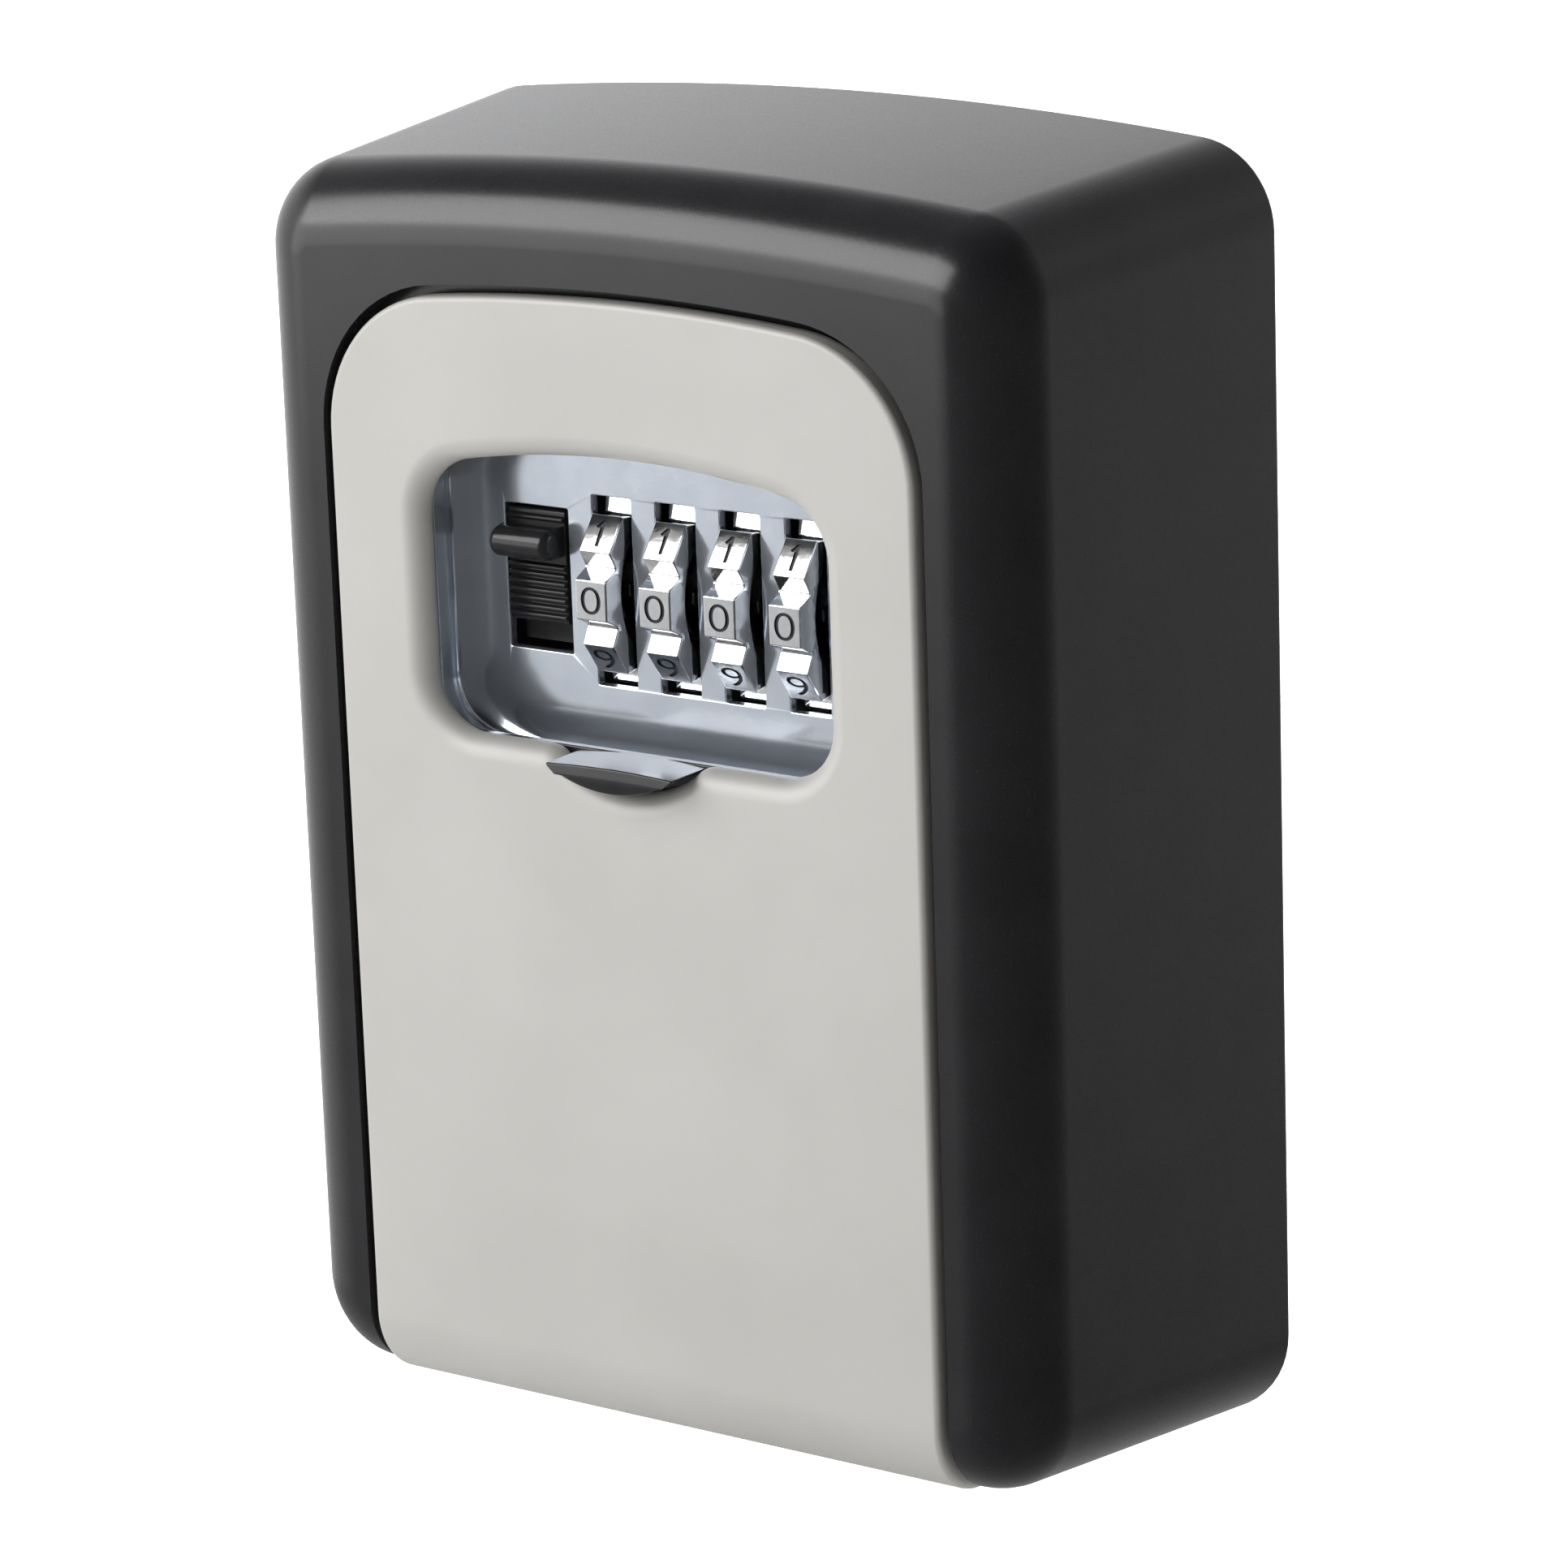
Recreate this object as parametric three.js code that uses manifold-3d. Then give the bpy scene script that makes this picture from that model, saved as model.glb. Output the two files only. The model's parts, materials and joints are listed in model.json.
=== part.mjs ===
// Wall-mounted key lock box with four number dials.
// Units are millimetres. The origin is the centre of the flat back face, +Z is up and the front faces -Y.
// The door hangs on two pins at its bottom edge and carries the whole lock; the housing is an open box.

import * as THREE from 'three';
import { mergeVertices } from 'three/addons/utils/BufferGeometryUtils.js';
import Module from 'manifold-3d';

const wasm = await Module();
wasm.setup();

// ---------------------------------------------------------------- driving dimensions

const HEIGHT = 120;
const WIDTH = 89;                 // at the wall; the sides taper towards the front
const DEPTH = 38;                 // wall to the front of the black frame
const SIDE_TAPER = 4.25;          // each side moves in by this much over the depth
const TOP_TAPER = 2.3;
const BOTTOM_TAPER = 2.7;
const FRONT_FILLET = 7;           // rounding between the front and the sides
const BOTTOM_CORNER = 8.7;
const TOP_CORNER = 8;
const TOP_CROWN = 2.6;            // rise of the arched top over its full width
const WALL = 3;
const BASE = -HEIGHT / 2;
const CLEAR = 0.3;                // gap kept between neighbouring pieces

const PANEL_PROUD = 0.4;
const PANEL_SKIN = 2.3;
const PANEL_HALF = 31.5;
const PANEL_TOP = 46.9;
const PANEL_CORNER = 13;
const PANEL_CROWN = 2.5;
const PANEL_FRONT = -DEPTH - PANEL_PROUD;
const PANEL_BACK = PANEL_FRONT + PANEL_SKIN;

const DOOR_GAP = 0.9;             // between the panel's edge and the housing's frame
const STOP_LIP = 0.8;             // how far the frame's inner stop reaches behind the panel
const FRAME_THICK = 2.5;          // frame in front of the stop
const FRAME_BACK = -33.5;

// The hinge axis is the centre of the panel's rounded bottom edge, so the edge turns in place.
const HINGE_Y = -(DEPTH - FRONT_FILLET);
const HINGE_Z = BASE + BOTTOM_TAPER * (DEPTH - FRONT_FILLET) / DEPTH + FRONT_FILLET;
const LIP_RADIUS = FRONT_FILLET + PANEL_PROUD;
const LIP_WRAP = 20;              // degrees that the lip runs on behind the hinge axis
const SWING_RADIUS = LIP_RADIUS + 0.4;
const SILL_FRONT = -26.8;         // front end of the housing's bottom wall
const PIN_RADIUS = 1.5;
const EAR_INNER = 27;             // the door's two hinge ears, from the middle plane
const EAR_OUTER = 31;
const EAR_RADIUS = 5.6;
const BOSS_RADIUS = 5;            // round bosses inside the housing's two front legs
const PIN_HOLE_END = 38.6;
const PIN_END = 38.2;
const PIN_HEAD_RADIUS = 2.8;
const PIN_HEAD = 1.2;

const WINDOW_HALF = 21.8;
const WINDOW_TOP = 32.8;
const WINDOW_BOTTOM = 6.2;
const WINDOW_CORNER = 5.5;
const WINDOW_CROWN = 2.5;
const NOTCH_X = -0.2;             // scoop in the window's lower edge, round the shutter's tab
const NOTCH_DROP = 3.3;
const NOTCH_RADIUS = 11.35;
const NOTCH_HUMP = 3;

const PLATE_FRONT = -30.3;        // the recessed plate that the dials stand through
const PLATE_THICK = 0.9;
const TRAY_FRONT = -34.4;
const TRAY_HALF = 24.4;
const TRAY_TOP = 36;
const TRAY_BOTTOM = 3.2;
const TRAY_CORNER = 7;
const TRAY_WALL = 1.2;
const TRAY_COVE = 2.4;            // hollow rounding where the tray's walls meet its plate

const DIAL_COUNT = 4;
const DIAL_PITCH = 7;
const DIAL_FIRST_X = -6.3;
const DIAL_Y = -24.1;
const DIAL_Z = 18.9;
const DIAL_WIDTH = 3.4;
const DIAL_FACES = 10;
const DIAL_FLAT = 9.75;           // axis to the middle of a numbered flat
const DIAL_FLAT_HALF = 1.8;
const DIAL_GROOVE = 8.6;          // axis to the floor of a groove
const GROOVE_HALF_ANGLE = 0.8;
const DIAL_BORE = 3.5;
const DIAL_SWEEP = 10;            // everything beside the dials stays outside this radius
const SLOT_WIDTH = 4.3;
const SLOT_BOTTOM = 10.2;
const SLOT_TOP = 27.6;
const RECESS_RADIUS = 7.4;        // shallow recess in each dial's right side
const RECESS_DEPTH = 0.6;
const POCKET_DEPTH = 1.5;         // star-shaped pocket for the hub's clutch
const POCKET_GAP = 0.4;

const SHAFT_RADIUS = 1.5;
const SHAFT_LEFT = -14.6;
const SHAFT_RIGHT = 23.4;
const RESET_TRAVEL = 1.2;
const HUB_RADIUS = 3.1;
const HUB_BORE = SHAFT_RADIUS + CLEAR;
const CLUTCH_LOBES = 10;
const CLUTCH_INNER = 4.2;
const CLUTCH_OUTER = 4.9;
const CAM_RADIUS = 5;
const HUB_START = -1.6;           // along the shaft from the dial's middle
const HUB_END = 5.1;
const CLUTCH_START = 0.5;
const CLUTCH_END = 1.6;
const CAM_START = 2.5;
const CAM_END = 3.9;
const GATE_HALF = 1.3;
const GATE_FLOOR = 3.6;           // axis to the bottom of the cam's gate
const COLLAR_LEFT = -9.5;
const COLLAR_RIGHT = -8.3;
const COLLAR_RADIUS = 2.6;
const CLIP_LEFT = 20.1;
const CLIP_RIGHT = 20.8;
const CLIP_RADIUS = 3;

const LEVER_SLOT = { left: -18.2, right: -11.2, bottom: 12.7, top: 26 };
const LATCH_FRONT = -28.5;
const LATCH_THICK = 1.4;
const LATCH_TRAVEL = 2.2;
const TONGUE_HALF = 8;
const TONGUE_TOP = 47.9;
const TONGUE_FRONT = -33.2;
const COMB_BOTTOM = 31.8;
const COMB_TOP = 34;
const FINGER_BOTTOM = CAM_RADIUS + DIAL_Z + LATCH_TRAVEL + CLEAR;
const FINGER_BACK = -23.3;
const FINGER_DEPTH = 2;
const FINGER_WIDTH = 1.8;
const LINK_LEFT = -17.8;
const LINK_RIGHT = -12.4;
const LINK_BOTTOM = 13.2;
const SEAT_BACK = -20.5;
const COMB_RIGHT = 19.4;
const JOG_BOTTOM = 39;
const JOG_TOP = 40.4;
const TONGUE_THICK = 1.8;
const TONGUE_LEAD = 1;            // lead-in slope on the tongue's front corner
const FINGER_INSET = 0.2;
const SEAT_INSET = 0.4;

const BUTTON_HEIGHT = 10.4;
const BUTTON_FACE = -30.3;
const BUTTON_GAP = 0.35;          // at each side of the button in its slot
const KNOB_Z = 23;
const KNOB_HALF = 1.4;
const KNOB_FRONT = -33.7;
const RIB_COUNT = 7;
const RIB_PITCH = 0.78;
const RIB_START = 0.3;            // above the button's foot
const RIB_FOOT = 0.6;
const RIB_CREST = 0.3;
const RIB_HEIGHT = 0.4;
const RIB_INSET = 0.4;
const KNOB_FLARE = 0.4;           // the knob's root is wider by this above and below

const SPRING_X = (LINK_LEFT + LINK_RIGHT) / 2;
const SPRING_Y = -24;
const SPRING_RADIUS = 1.9;
const SPRING_WIRE = 0.3;
const SPRING_TURNS = 6;
const SPRING_STEPS = 10;          // for each turn
const SPRING_GAP = 0.2;

const LEAF_Z = 4.9;
const LEAF_THICK = 0.45;
const LEAF_HALF = 1.2;
const LEAF_BEND = 1.3;
const LEAF_BACK = DIAL_Y + 6;
const LEAF_CLAMP = DIAL_Y + 1;
const LEAF_FRONT = DIAL_Y - 2.8;
const LEAF_TIP = { back: 2.5, drop: 1.2 };
const LEAF_PEAK = DIAL_Z - DIAL_SWEEP - CLEAR - LEAF_THICK / 2;

const CASE_HALF = 24.2;
const CASE_BOTTOM = 2.6;
const CASE_TOP = 36.2;
const CASE_FRONT = -28.8;
const CASE_BACK = -13.4;
const CASE_WALL = 1.6;
const COVER_BACK = -11.9;
const ARM_LEFT = -14;
const ARM_RIGHT = -12.8;
const ARM_HALF = 2;
const ARM_EYE = 2.4;
const PAD_FRONT = COVER_BACK + CLEAR;
const PAD_BACK = PAD_FRONT + 1.2;
const PAD_LEFT = -18;
const PAD_RIGHT = -9.5;
const PAD_HALF = 3.4;
const PAD_RIBS = 3;
const PAD_RIB_PITCH = 2.4;
const PAD_RIB_WIDTH = 0.8;
const PAD_RIB_HEIGHT = 0.5;
const LUG_X = 27;
const LUG_ROWS = [8, 30];
const LUG_HALF = 2.6;
const LUG_BACK = -27.3;
const PANEL_BOSS = 2.2;           // radius of the screw bosses on the panel's back
const ROOT = 0.5;                 // how far a joined piece runs into its neighbour
const CASE_HOLE_END = PANEL_BACK + 0.4;
const RETAINER_HOLE_END = PANEL_FRONT + 1.1;
const PARTITION_LEFT = -11.2;     // wall between the latch's bay and the dials' bay
const PARTITION_RIGHT = -10;
const PARTITION_TOP = 29;
const COVER_SCREW_X = 22;
const COVER_SCREW_ROWS = [4.8, 34];
const COVER_BOSS = 2.2;
const COVER_BOSS_FRONT = -20.5;
const COVER_HOLE_END = COVER_BOSS_FRONT + 1.5;

const SHUTTER_HALF = 24.2;
const SHUTTER_TOP = 6;
const SHUTTER_BOTTOM = -21.5;
const SHUTTER_FRONT = -35.8;
const SHUTTER_BACK = -34.8;
const SHUTTER_TOP_CORNER = 4;
const SHUTTER_FOOT_CORNER = 1;
const NEARLY_FLAT = 0.1;          // crown of an edge that is straight to the eye
const TAB_HALF = 6.4;
const TAB_FRONT = -41.2;
const TAB_SAG = 2.5;
const TAB_EDGE = 0.2;              // straight stretch above the ends of the tab's lens
const RAIL = 0.8;                 // ribs on the panel's back that guide the shutter
const RAIL_TOP = 30;
const RAIL_FOOT = 1;              // ledge that the shutter rests on
const RETAINER_FRONT = -34.4;
const RETAINER_BACK = -33.6;
const RETAINER_HALF = 29.4;
const RETAINER_TOP = 1.8;
const RETAINER_BOTTOM = -23.5;
const RETAINER_SCREW_Z = -10;
const RETAINER_CORNER = 2;

const SCREW_RADIUS = 1;
const SCREW_BORE = SCREW_RADIUS + CLEAR;
const SCREW_POINT = 0.3;
const SCREW_HEAD = 2;
const HEAD_HEIGHT = 1.2;
const HEAD_DOME = 0.7;            // share of the head below its chamfer
const DRIVE_HALF = 0.25;          // cross slot in the head
const DRIVE_DEPTH = 0.5;
const DRIVE_REACH = 1.2;
const WALL_HOLE_X = 27;
const WALL_HOLE_Z = 38;
const WALL_HOLE_RADIUS = 2.5;
const COUNTERSINK_RADIUS = 4.5;

const ROUND = 20;                 // sides of a round piece
const SMALL_ROUND = 12;           // sides of a screw and of its hole
const FAR = 90;                   // longer than anything that is cut

// ---------------------------------------------------------------- solids

function solid(geometry) {
  const bare = geometry.clone();
  bare.deleteAttribute('normal');
  bare.deleteAttribute('uv');
  const merged = mergeVertices(bare, 1e-4);
  const index = Array.from(merged.index.array);
  const kept = [];
  for (let i = 0; i < index.length; i += 3) {
    const [a, b, c] = index.slice(i, i + 3);
    if (a !== b && b !== c && c !== a) {
      kept.push(a, b, c);
    }
  }
  const mesh = new wasm.Mesh({
    numProp: 3,
    vertProperties: Float32Array.from(merged.getAttribute('position').array),
    triVerts: Uint32Array.from(kept),
  });
  return new wasm.Manifold(mesh);
}

function join(first, ...others) {
  return others.reduce((sum, next) => sum.add(next), first);
}

function cut(body, ...tools) {
  return tools.reduce((rest, tool) => rest.subtract(tool), body);
}

function block(x0, x1, y0, y1, z0, z1) {
  const geometry = new THREE.BoxGeometry(x1 - x0, y1 - y0, z1 - z0);
  geometry.translate((x0 + x1) / 2, (y0 + y1) / 2, (z0 + z1) / 2);
  return solid(geometry);
}

function arc(cx, cy, radius, fromDegrees, toDegrees, steps = 6) {
  const points = [];
  for (let i = 0; i <= steps; i += 1) {
    const angle = THREE.MathUtils.degToRad(fromDegrees + (toDegrees - fromDegrees) * i / steps);
    points.push(new THREE.Vector2(cx + radius * Math.cos(angle), cy + radius * Math.sin(angle)));
  }
  return points;
}

function shapeOf(points) {
  const kept = points.filter((p, i) => p.distanceTo(points[(i + 1) % points.length]) > 1e-3);
  return new THREE.Shape(kept);
}

function corners(...pairs) {
  return pairs.map(([a, b]) => new THREE.Vector2(a, b));
}

// The stretch from a to b on the right side, or its mirror image on the left (side -1).
function span(side, a, b) {
  return [side * a, side * b].sort((p, q) => p - q);
}

// A front-view outline (x, z) pushed out along Y, from yBack forwards to yFront.
function prismY(points, yBack, yFront) {
  const depth = yBack - yFront;
  const geometry = new THREE.ExtrudeGeometry(shapeOf(points), { depth, bevelEnabled: false });
  geometry.rotateX(Math.PI / 2);
  geometry.translate(0, yBack, 0);
  return solid(geometry);
}

// A side-view outline (y, z) pushed out along X.
function prismX(points, x0, x1) {
  const geometry = new THREE.ExtrudeGeometry(shapeOf(points), { depth: x1 - x0, bevelEnabled: false });
  const axes = new THREE.Matrix4().makeBasis(
    new THREE.Vector3(0, 1, 0),
    new THREE.Vector3(0, 0, 1),
    new THREE.Vector3(1, 0, 0),
  );
  geometry.applyMatrix4(axes);
  geometry.translate(x0, 0, 0);
  return solid(geometry);
}

function rodX(radius, x0, x1, y, z, sides = ROUND) {
  const geometry = new THREE.CylinderGeometry(radius, radius, x1 - x0, sides);
  geometry.rotateZ(Math.PI / 2);
  geometry.translate((x0 + x1) / 2, y, z);
  return solid(geometry);
}

function coneY(radiusBack, radiusFront, yBack, yFront, x, z, sides = ROUND) {
  const geometry = new THREE.CylinderGeometry(radiusBack, radiusFront, yBack - yFront, sides);
  geometry.translate(x, (yBack + yFront) / 2, z);
  return solid(geometry);
}

function rodY(radius, yBack, yFront, x, z, sides = ROUND) {
  return coneY(radius, radius, yBack, yFront, x, z, sides);
}

// ---------------------------------------------------------------- outlines in the front view

// Arched top edge with rounded corners, listed from the right side over to the left side.
function archTop(half, top, corner, crown, steps) {
  const radius = (half * half + crown * crown) / (2 * crown);
  const centreZ = top - radius;
  const cornerX = half - corner;
  const cornerZ = centreZ + Math.sqrt((radius - corner) ** 2 - cornerX ** 2);
  const turn = THREE.MathUtils.radToDeg(Math.atan2(cornerZ - centreZ, cornerX));
  return [
    ...arc(cornerX, cornerZ, corner, 0, turn, steps),
    ...arc(0, centreZ, radius, turn, 180 - turn, steps),
    ...arc(-cornerX, cornerZ, corner, 180 - turn, 180, steps),
  ];
}

function archedDoorway(half, top, corner, crown) {
  return [...corners([-half, -FAR], [half, -FAR]), ...archTop(half, top, corner, crown, 8)];
}

function archedBox(half, bottom, top, cornerBottom, cornerTop, crown, steps = 6) {
  return [
    ...arc(-half + cornerBottom, bottom + cornerBottom, cornerBottom, 180, 270, steps),
    ...arc(half - cornerBottom, bottom + cornerBottom, cornerBottom, 270, 360, steps),
    ...archTop(half, top, cornerTop, crown, steps),
  ];
}

// The window is an arched box with a scoop in the middle of its lower edge.
function windowOutline() {
  const scoopZ = WINDOW_BOTTOM - NOTCH_DROP + NOTCH_RADIUS;
  const humpZ = WINDOW_BOTTOM - NOTCH_HUMP;
  const rise = scoopZ - humpZ;
  const humpX = Math.sqrt((NOTCH_RADIUS + NOTCH_HUMP) ** 2 - rise ** 2);
  const lean = THREE.MathUtils.radToDeg(Math.atan2(rise, humpX));
  const side = WINDOW_HALF - WINDOW_CORNER;
  const low = WINDOW_BOTTOM + WINDOW_CORNER;
  return [
    ...arc(-side, low, WINDOW_CORNER, 180, 270),
    ...arc(NOTCH_X - humpX, humpZ, NOTCH_HUMP, 90, lean, 4),
    ...arc(NOTCH_X, scoopZ, NOTCH_RADIUS, 180 + lean, 360 - lean, 8),
    ...arc(NOTCH_X + humpX, humpZ, NOTCH_HUMP, 180 - lean, 90, 4),
    ...arc(side, low, WINDOW_CORNER, 270, 360),
    ...archTop(WINDOW_HALF, WINDOW_TOP, WINDOW_CORNER, WINDOW_CROWN, 6),
  ];
}

// ---------------------------------------------------------------- housing

// Moves every point inwards with its distance from the wall, as the casting's draught does.
function taper(geometry, half, bottom, top) {
  const position = geometry.getAttribute('position');
  for (let i = 0; i < position.count; i += 1) {
    const share = -position.getY(i) / DEPTH;
    const low = bottom + BOTTOM_TAPER * share;
    const high = top - TOP_TAPER * share;
    const z = low + (position.getZ(i) - bottom) / (top - bottom) * (high - low);
    position.setX(i, position.getX(i) * (half - SIDE_TAPER * share) / half);
    position.setZ(i, z);
  }
  return geometry;
}

function housingOutside() {
  const outline = archedBox(WIDTH / 2, BASE, -BASE, BOTTOM_CORNER, TOP_CORNER, TOP_CROWN);
  const geometry = new THREE.ExtrudeGeometry(shapeOf(outline), {
    depth: DEPTH - FRONT_FILLET,
    bevelEnabled: true,
    bevelThickness: FRONT_FILLET,
    bevelSize: FRONT_FILLET,
    bevelOffset: -FRONT_FILLET,
    bevelSegments: 5,
  });
  geometry.rotateX(Math.PI / 2);
  const rounded = solid(taper(geometry, WIDTH / 2, BASE, -BASE));
  return rounded.intersect(block(-FAR, FAR, -FAR, 0, -FAR, FAR));
}

function housingInside() {
  const half = WIDTH / 2 - WALL;
  const bottom = BASE + WALL;
  const outline = archedBox(half, bottom, -bottom, BOTTOM_CORNER - WALL, TOP_CORNER - WALL, TOP_CROWN, 4);
  const depth = -WALL - FRAME_BACK;
  const geometry = new THREE.ExtrudeGeometry(shapeOf(outline), { depth, bevelEnabled: false });
  geometry.rotateX(Math.PI / 2);
  geometry.translate(0, -WALL, 0);
  return solid(taper(geometry, half, bottom, -bottom));
}

function housingShell() {
  const outside = housingOutside();
  const half = PANEL_HALF + DOOR_GAP;
  const doorway = archedDoorway(half, PANEL_TOP + DOOR_GAP, PANEL_CORNER + DOOR_GAP, PANEL_CROWN);
  const stopInset = DOOR_GAP + STOP_LIP;
  const stop = archedDoorway(
    half - stopInset, PANEL_TOP - STOP_LIP, PANEL_CORNER - STOP_LIP, PANEL_CROWN,
  );
  const bossAbove = HINGE_Z + SWING_RADIUS;
  const shell = cut(
    outside,
    housingInside(),
    prismY(doorway, -DEPTH + FRAME_THICK, -FAR),
    prismY(stop, FRAME_BACK + 1, -FAR),
    block(-half, half, -FAR, FRAME_BACK + 1, -FAR, bossAbove),
    block(-half, half, -FAR, SILL_FRONT, -FAR, HINGE_Z),
    rodX(SWING_RADIUS, -half, half, HINGE_Y, HINGE_Z, 2 * ROUND),
  );
  const bosses = [-1, 1].map((side) => {
    const [x0, x1] = span(side, half, WIDTH / 2);
    return rodX(BOSS_RADIUS, x0, x1, HINGE_Y, HINGE_Z).intersect(outside);
  });
  const pinHoles = [-1, 1].map((side) => {
    const [x0, x1] = span(side, half - 1, PIN_HOLE_END);
    return rodX(PIN_RADIUS + CLEAR, x0, x1, HINGE_Y, HINGE_Z);
  });
  const wallHoles = [];
  for (const x of [-WALL_HOLE_X, WALL_HOLE_X]) {
    for (const z of [-WALL_HOLE_Z, WALL_HOLE_Z]) {
      wallHoles.push(rodY(WALL_HOLE_RADIUS, 1, -WALL - 1, x, z));
      wallHoles.push(coneY(WALL_HOLE_RADIUS, COUNTERSINK_RADIUS, -1, -WALL, x, z));
      wallHoles.push(rodY(COUNTERSINK_RADIUS, -WALL, -WALL - 1, x, z));
    }
  }
  return cut(join(shell, ...bosses), ...pinHoles, ...wallHoles);
}

// A short shouldered pin, its head on the inner side of the door's ear.
function hingePin(side) {
  const headStart = EAR_INNER - CLEAR - PIN_HEAD;
  const headEnd = EAR_INNER - CLEAR;
  const spans = [[PIN_HEAD_RADIUS, headStart, headEnd], [PIN_RADIUS, headStart, PIN_END]];
  const rods = spans.map(([radius, a, b]) => {
    const [x0, x1] = span(side, a, b);
    return rodX(radius, x0, x1, HINGE_Y, HINGE_Z);
  });
  return join(...rods);
}

// ---------------------------------------------------------------- door panel

function frontPanel() {
  const end = 270 + LIP_WRAP;
  const profile = [
    ...corners([PANEL_BACK, FAR], [PANEL_FRONT, FAR]),
    ...arc(HINGE_Y, HINGE_Z, LIP_RADIUS, 180, end, 8),
    ...arc(HINGE_Y, HINGE_Z, LIP_RADIUS - PANEL_SKIN, end, 180, 8),
  ];
  const outline = archedDoorway(PANEL_HALF, PANEL_TOP, PANEL_CORNER, PANEL_CROWN);
  const skin = prismX(profile, -PANEL_HALF, PANEL_HALF).intersect(prismY(outline, 0, -FAR));
  const ears = [-1, 1].map((side) => {
    const [x0, x1] = span(side, EAR_INNER, EAR_OUTER);
    return rodX(EAR_RADIUS, x0, x1, HINGE_Y, HINGE_Z);
  });
  const root = PANEL_BACK - ROOT;
  const bosses = [];
  const holes = [];
  for (const x of [-LUG_X, LUG_X]) {
    for (const z of LUG_ROWS) {
      bosses.push(rodY(PANEL_BOSS, PLATE_FRONT - CLEAR, root, x, z, SMALL_ROUND));
      holes.push(rodY(SCREW_BORE, PLATE_FRONT, CASE_HOLE_END, x, z, SMALL_ROUND));
    }
    bosses.push(rodY(PANEL_BOSS, RETAINER_FRONT - CLEAR, root, x, RETAINER_SCREW_Z, SMALL_ROUND));
    holes.push(rodY(SCREW_BORE, RETAINER_FRONT, RETAINER_HOLE_END, x, RETAINER_SCREW_Z, SMALL_ROUND));
  }
  const railInner = SHUTTER_HALF + CLEAR;
  const railBack = RETAINER_FRONT - CLEAR;
  const railBottom = SHUTTER_BOTTOM - CLEAR - RAIL_FOOT;
  const rails = [
    block(-railInner - RAIL, -railInner, root, railBack, railBottom, RAIL_TOP),
    block(railInner, railInner + RAIL, root, railBack, railBottom, RAIL_TOP),
    block(-railInner - RAIL, railInner + RAIL, root, railBack, railBottom, railBottom + RAIL_FOOT),
  ];
  const body = join(skin, ...ears, ...bosses, ...rails);
  const pinHole = rodX(PIN_RADIUS + CLEAR, -FAR, FAR, HINGE_Y, HINGE_Z);
  return cut(body, prismY(windowOutline(), 0, -FAR), pinHole, ...holes);
}

// Thin plate behind the parked shutter; it keeps the keys off the shutter.
function shutterRetainer() {
  const outline = archedBox(
    RETAINER_HALF, RETAINER_BOTTOM, RETAINER_TOP, RETAINER_CORNER, RETAINER_CORNER, NEARLY_FLAT, 3,
  );
  const holes = [-LUG_X, LUG_X].map((x) => rodY(SCREW_BORE, 0, -FAR, x, RETAINER_SCREW_Z, SMALL_ROUND));
  return cut(prismY(outline, RETAINER_BACK, RETAINER_FRONT), ...holes);
}

function weatherShutter() {
  const plate = archedBox(
    SHUTTER_HALF, SHUTTER_BOTTOM, SHUTTER_TOP, SHUTTER_FOOT_CORNER, SHUTTER_TOP_CORNER, NEARLY_FLAT, 3,
  );
  const tabRadius = (TAB_HALF ** 2 + TAB_SAG ** 2) / (2 * TAB_SAG);
  const spread = THREE.MathUtils.radToDeg(Math.asin(TAB_HALF / tabRadius));
  const centreZ = SHUTTER_TOP - TAB_EDGE - TAB_SAG + tabRadius;
  const lens = arc(NOTCH_X, centreZ, tabRadius, 270 - spread, 270 + spread, 12);
  const rim = corners([NOTCH_X + TAB_HALF, SHUTTER_TOP], [NOTCH_X - TAB_HALF, SHUTTER_TOP]);
  return join(
    prismY(plate, SHUTTER_BACK, SHUTTER_FRONT),
    prismY([...lens, ...rim], SHUTTER_FRONT + ROOT, TAB_FRONT),
  );
}

// ---------------------------------------------------------------- dial tray

function dialCentres() {
  return Array.from({ length: DIAL_COUNT }, (_, i) => DIAL_FIRST_X + i * DIAL_PITCH);
}

function dialTray() {
  const back = PLATE_FRONT + PLATE_THICK;
  const outer = archedBox(TRAY_HALF, TRAY_BOTTOM, TRAY_TOP, TRAY_CORNER, TRAY_CORNER, WINDOW_CROWN);
  const innerHalf = TRAY_HALF - TRAY_WALL;
  const innerOutline = archedBox(
    innerHalf, TRAY_BOTTOM + TRAY_WALL, TRAY_TOP - TRAY_WALL,
    TRAY_CORNER - TRAY_WALL, TRAY_CORNER - TRAY_WALL, WINDOW_CROWN,
  );
  const dish = new THREE.ExtrudeGeometry(shapeOf(innerOutline), {
    depth: FAR,
    bevelEnabled: true,
    bevelThickness: TRAY_COVE,
    bevelSize: TRAY_COVE,
    bevelOffset: -TRAY_COVE,
    bevelSegments: 4,
  });
  dish.rotateX(Math.PI / 2);
  dish.translate(0, PLATE_FRONT - TRAY_COVE, 0);
  const ears = [];
  const holes = [];
  for (const side of [-1, 1]) {
    const [x0, x1] = span(side, LUG_X - 2 * LUG_HALF, LUG_X + LUG_HALF);
    for (const z of LUG_ROWS) {
      ears.push(block(x0, x1, PLATE_FRONT, back, z - LUG_HALF, z + LUG_HALF));
      holes.push(rodY(SCREW_BORE, 0, -FAR, side * LUG_X, z, SMALL_ROUND));
    }
  }
  const slots = dialCentres().map((x) =>
    block(x - SLOT_WIDTH / 2, x + SLOT_WIDTH / 2, -FAR, 0, SLOT_BOTTOM, SLOT_TOP));
  const lever = LEVER_SLOT;
  const tray = cut(
    join(prismY(outer, back, TRAY_FRONT), ...ears),
    solid(dish),
    ...slots,
    block(lever.left, lever.right, -FAR, 0, lever.bottom, lever.top),
    ...holes,
  );
  return tray;
}

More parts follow.
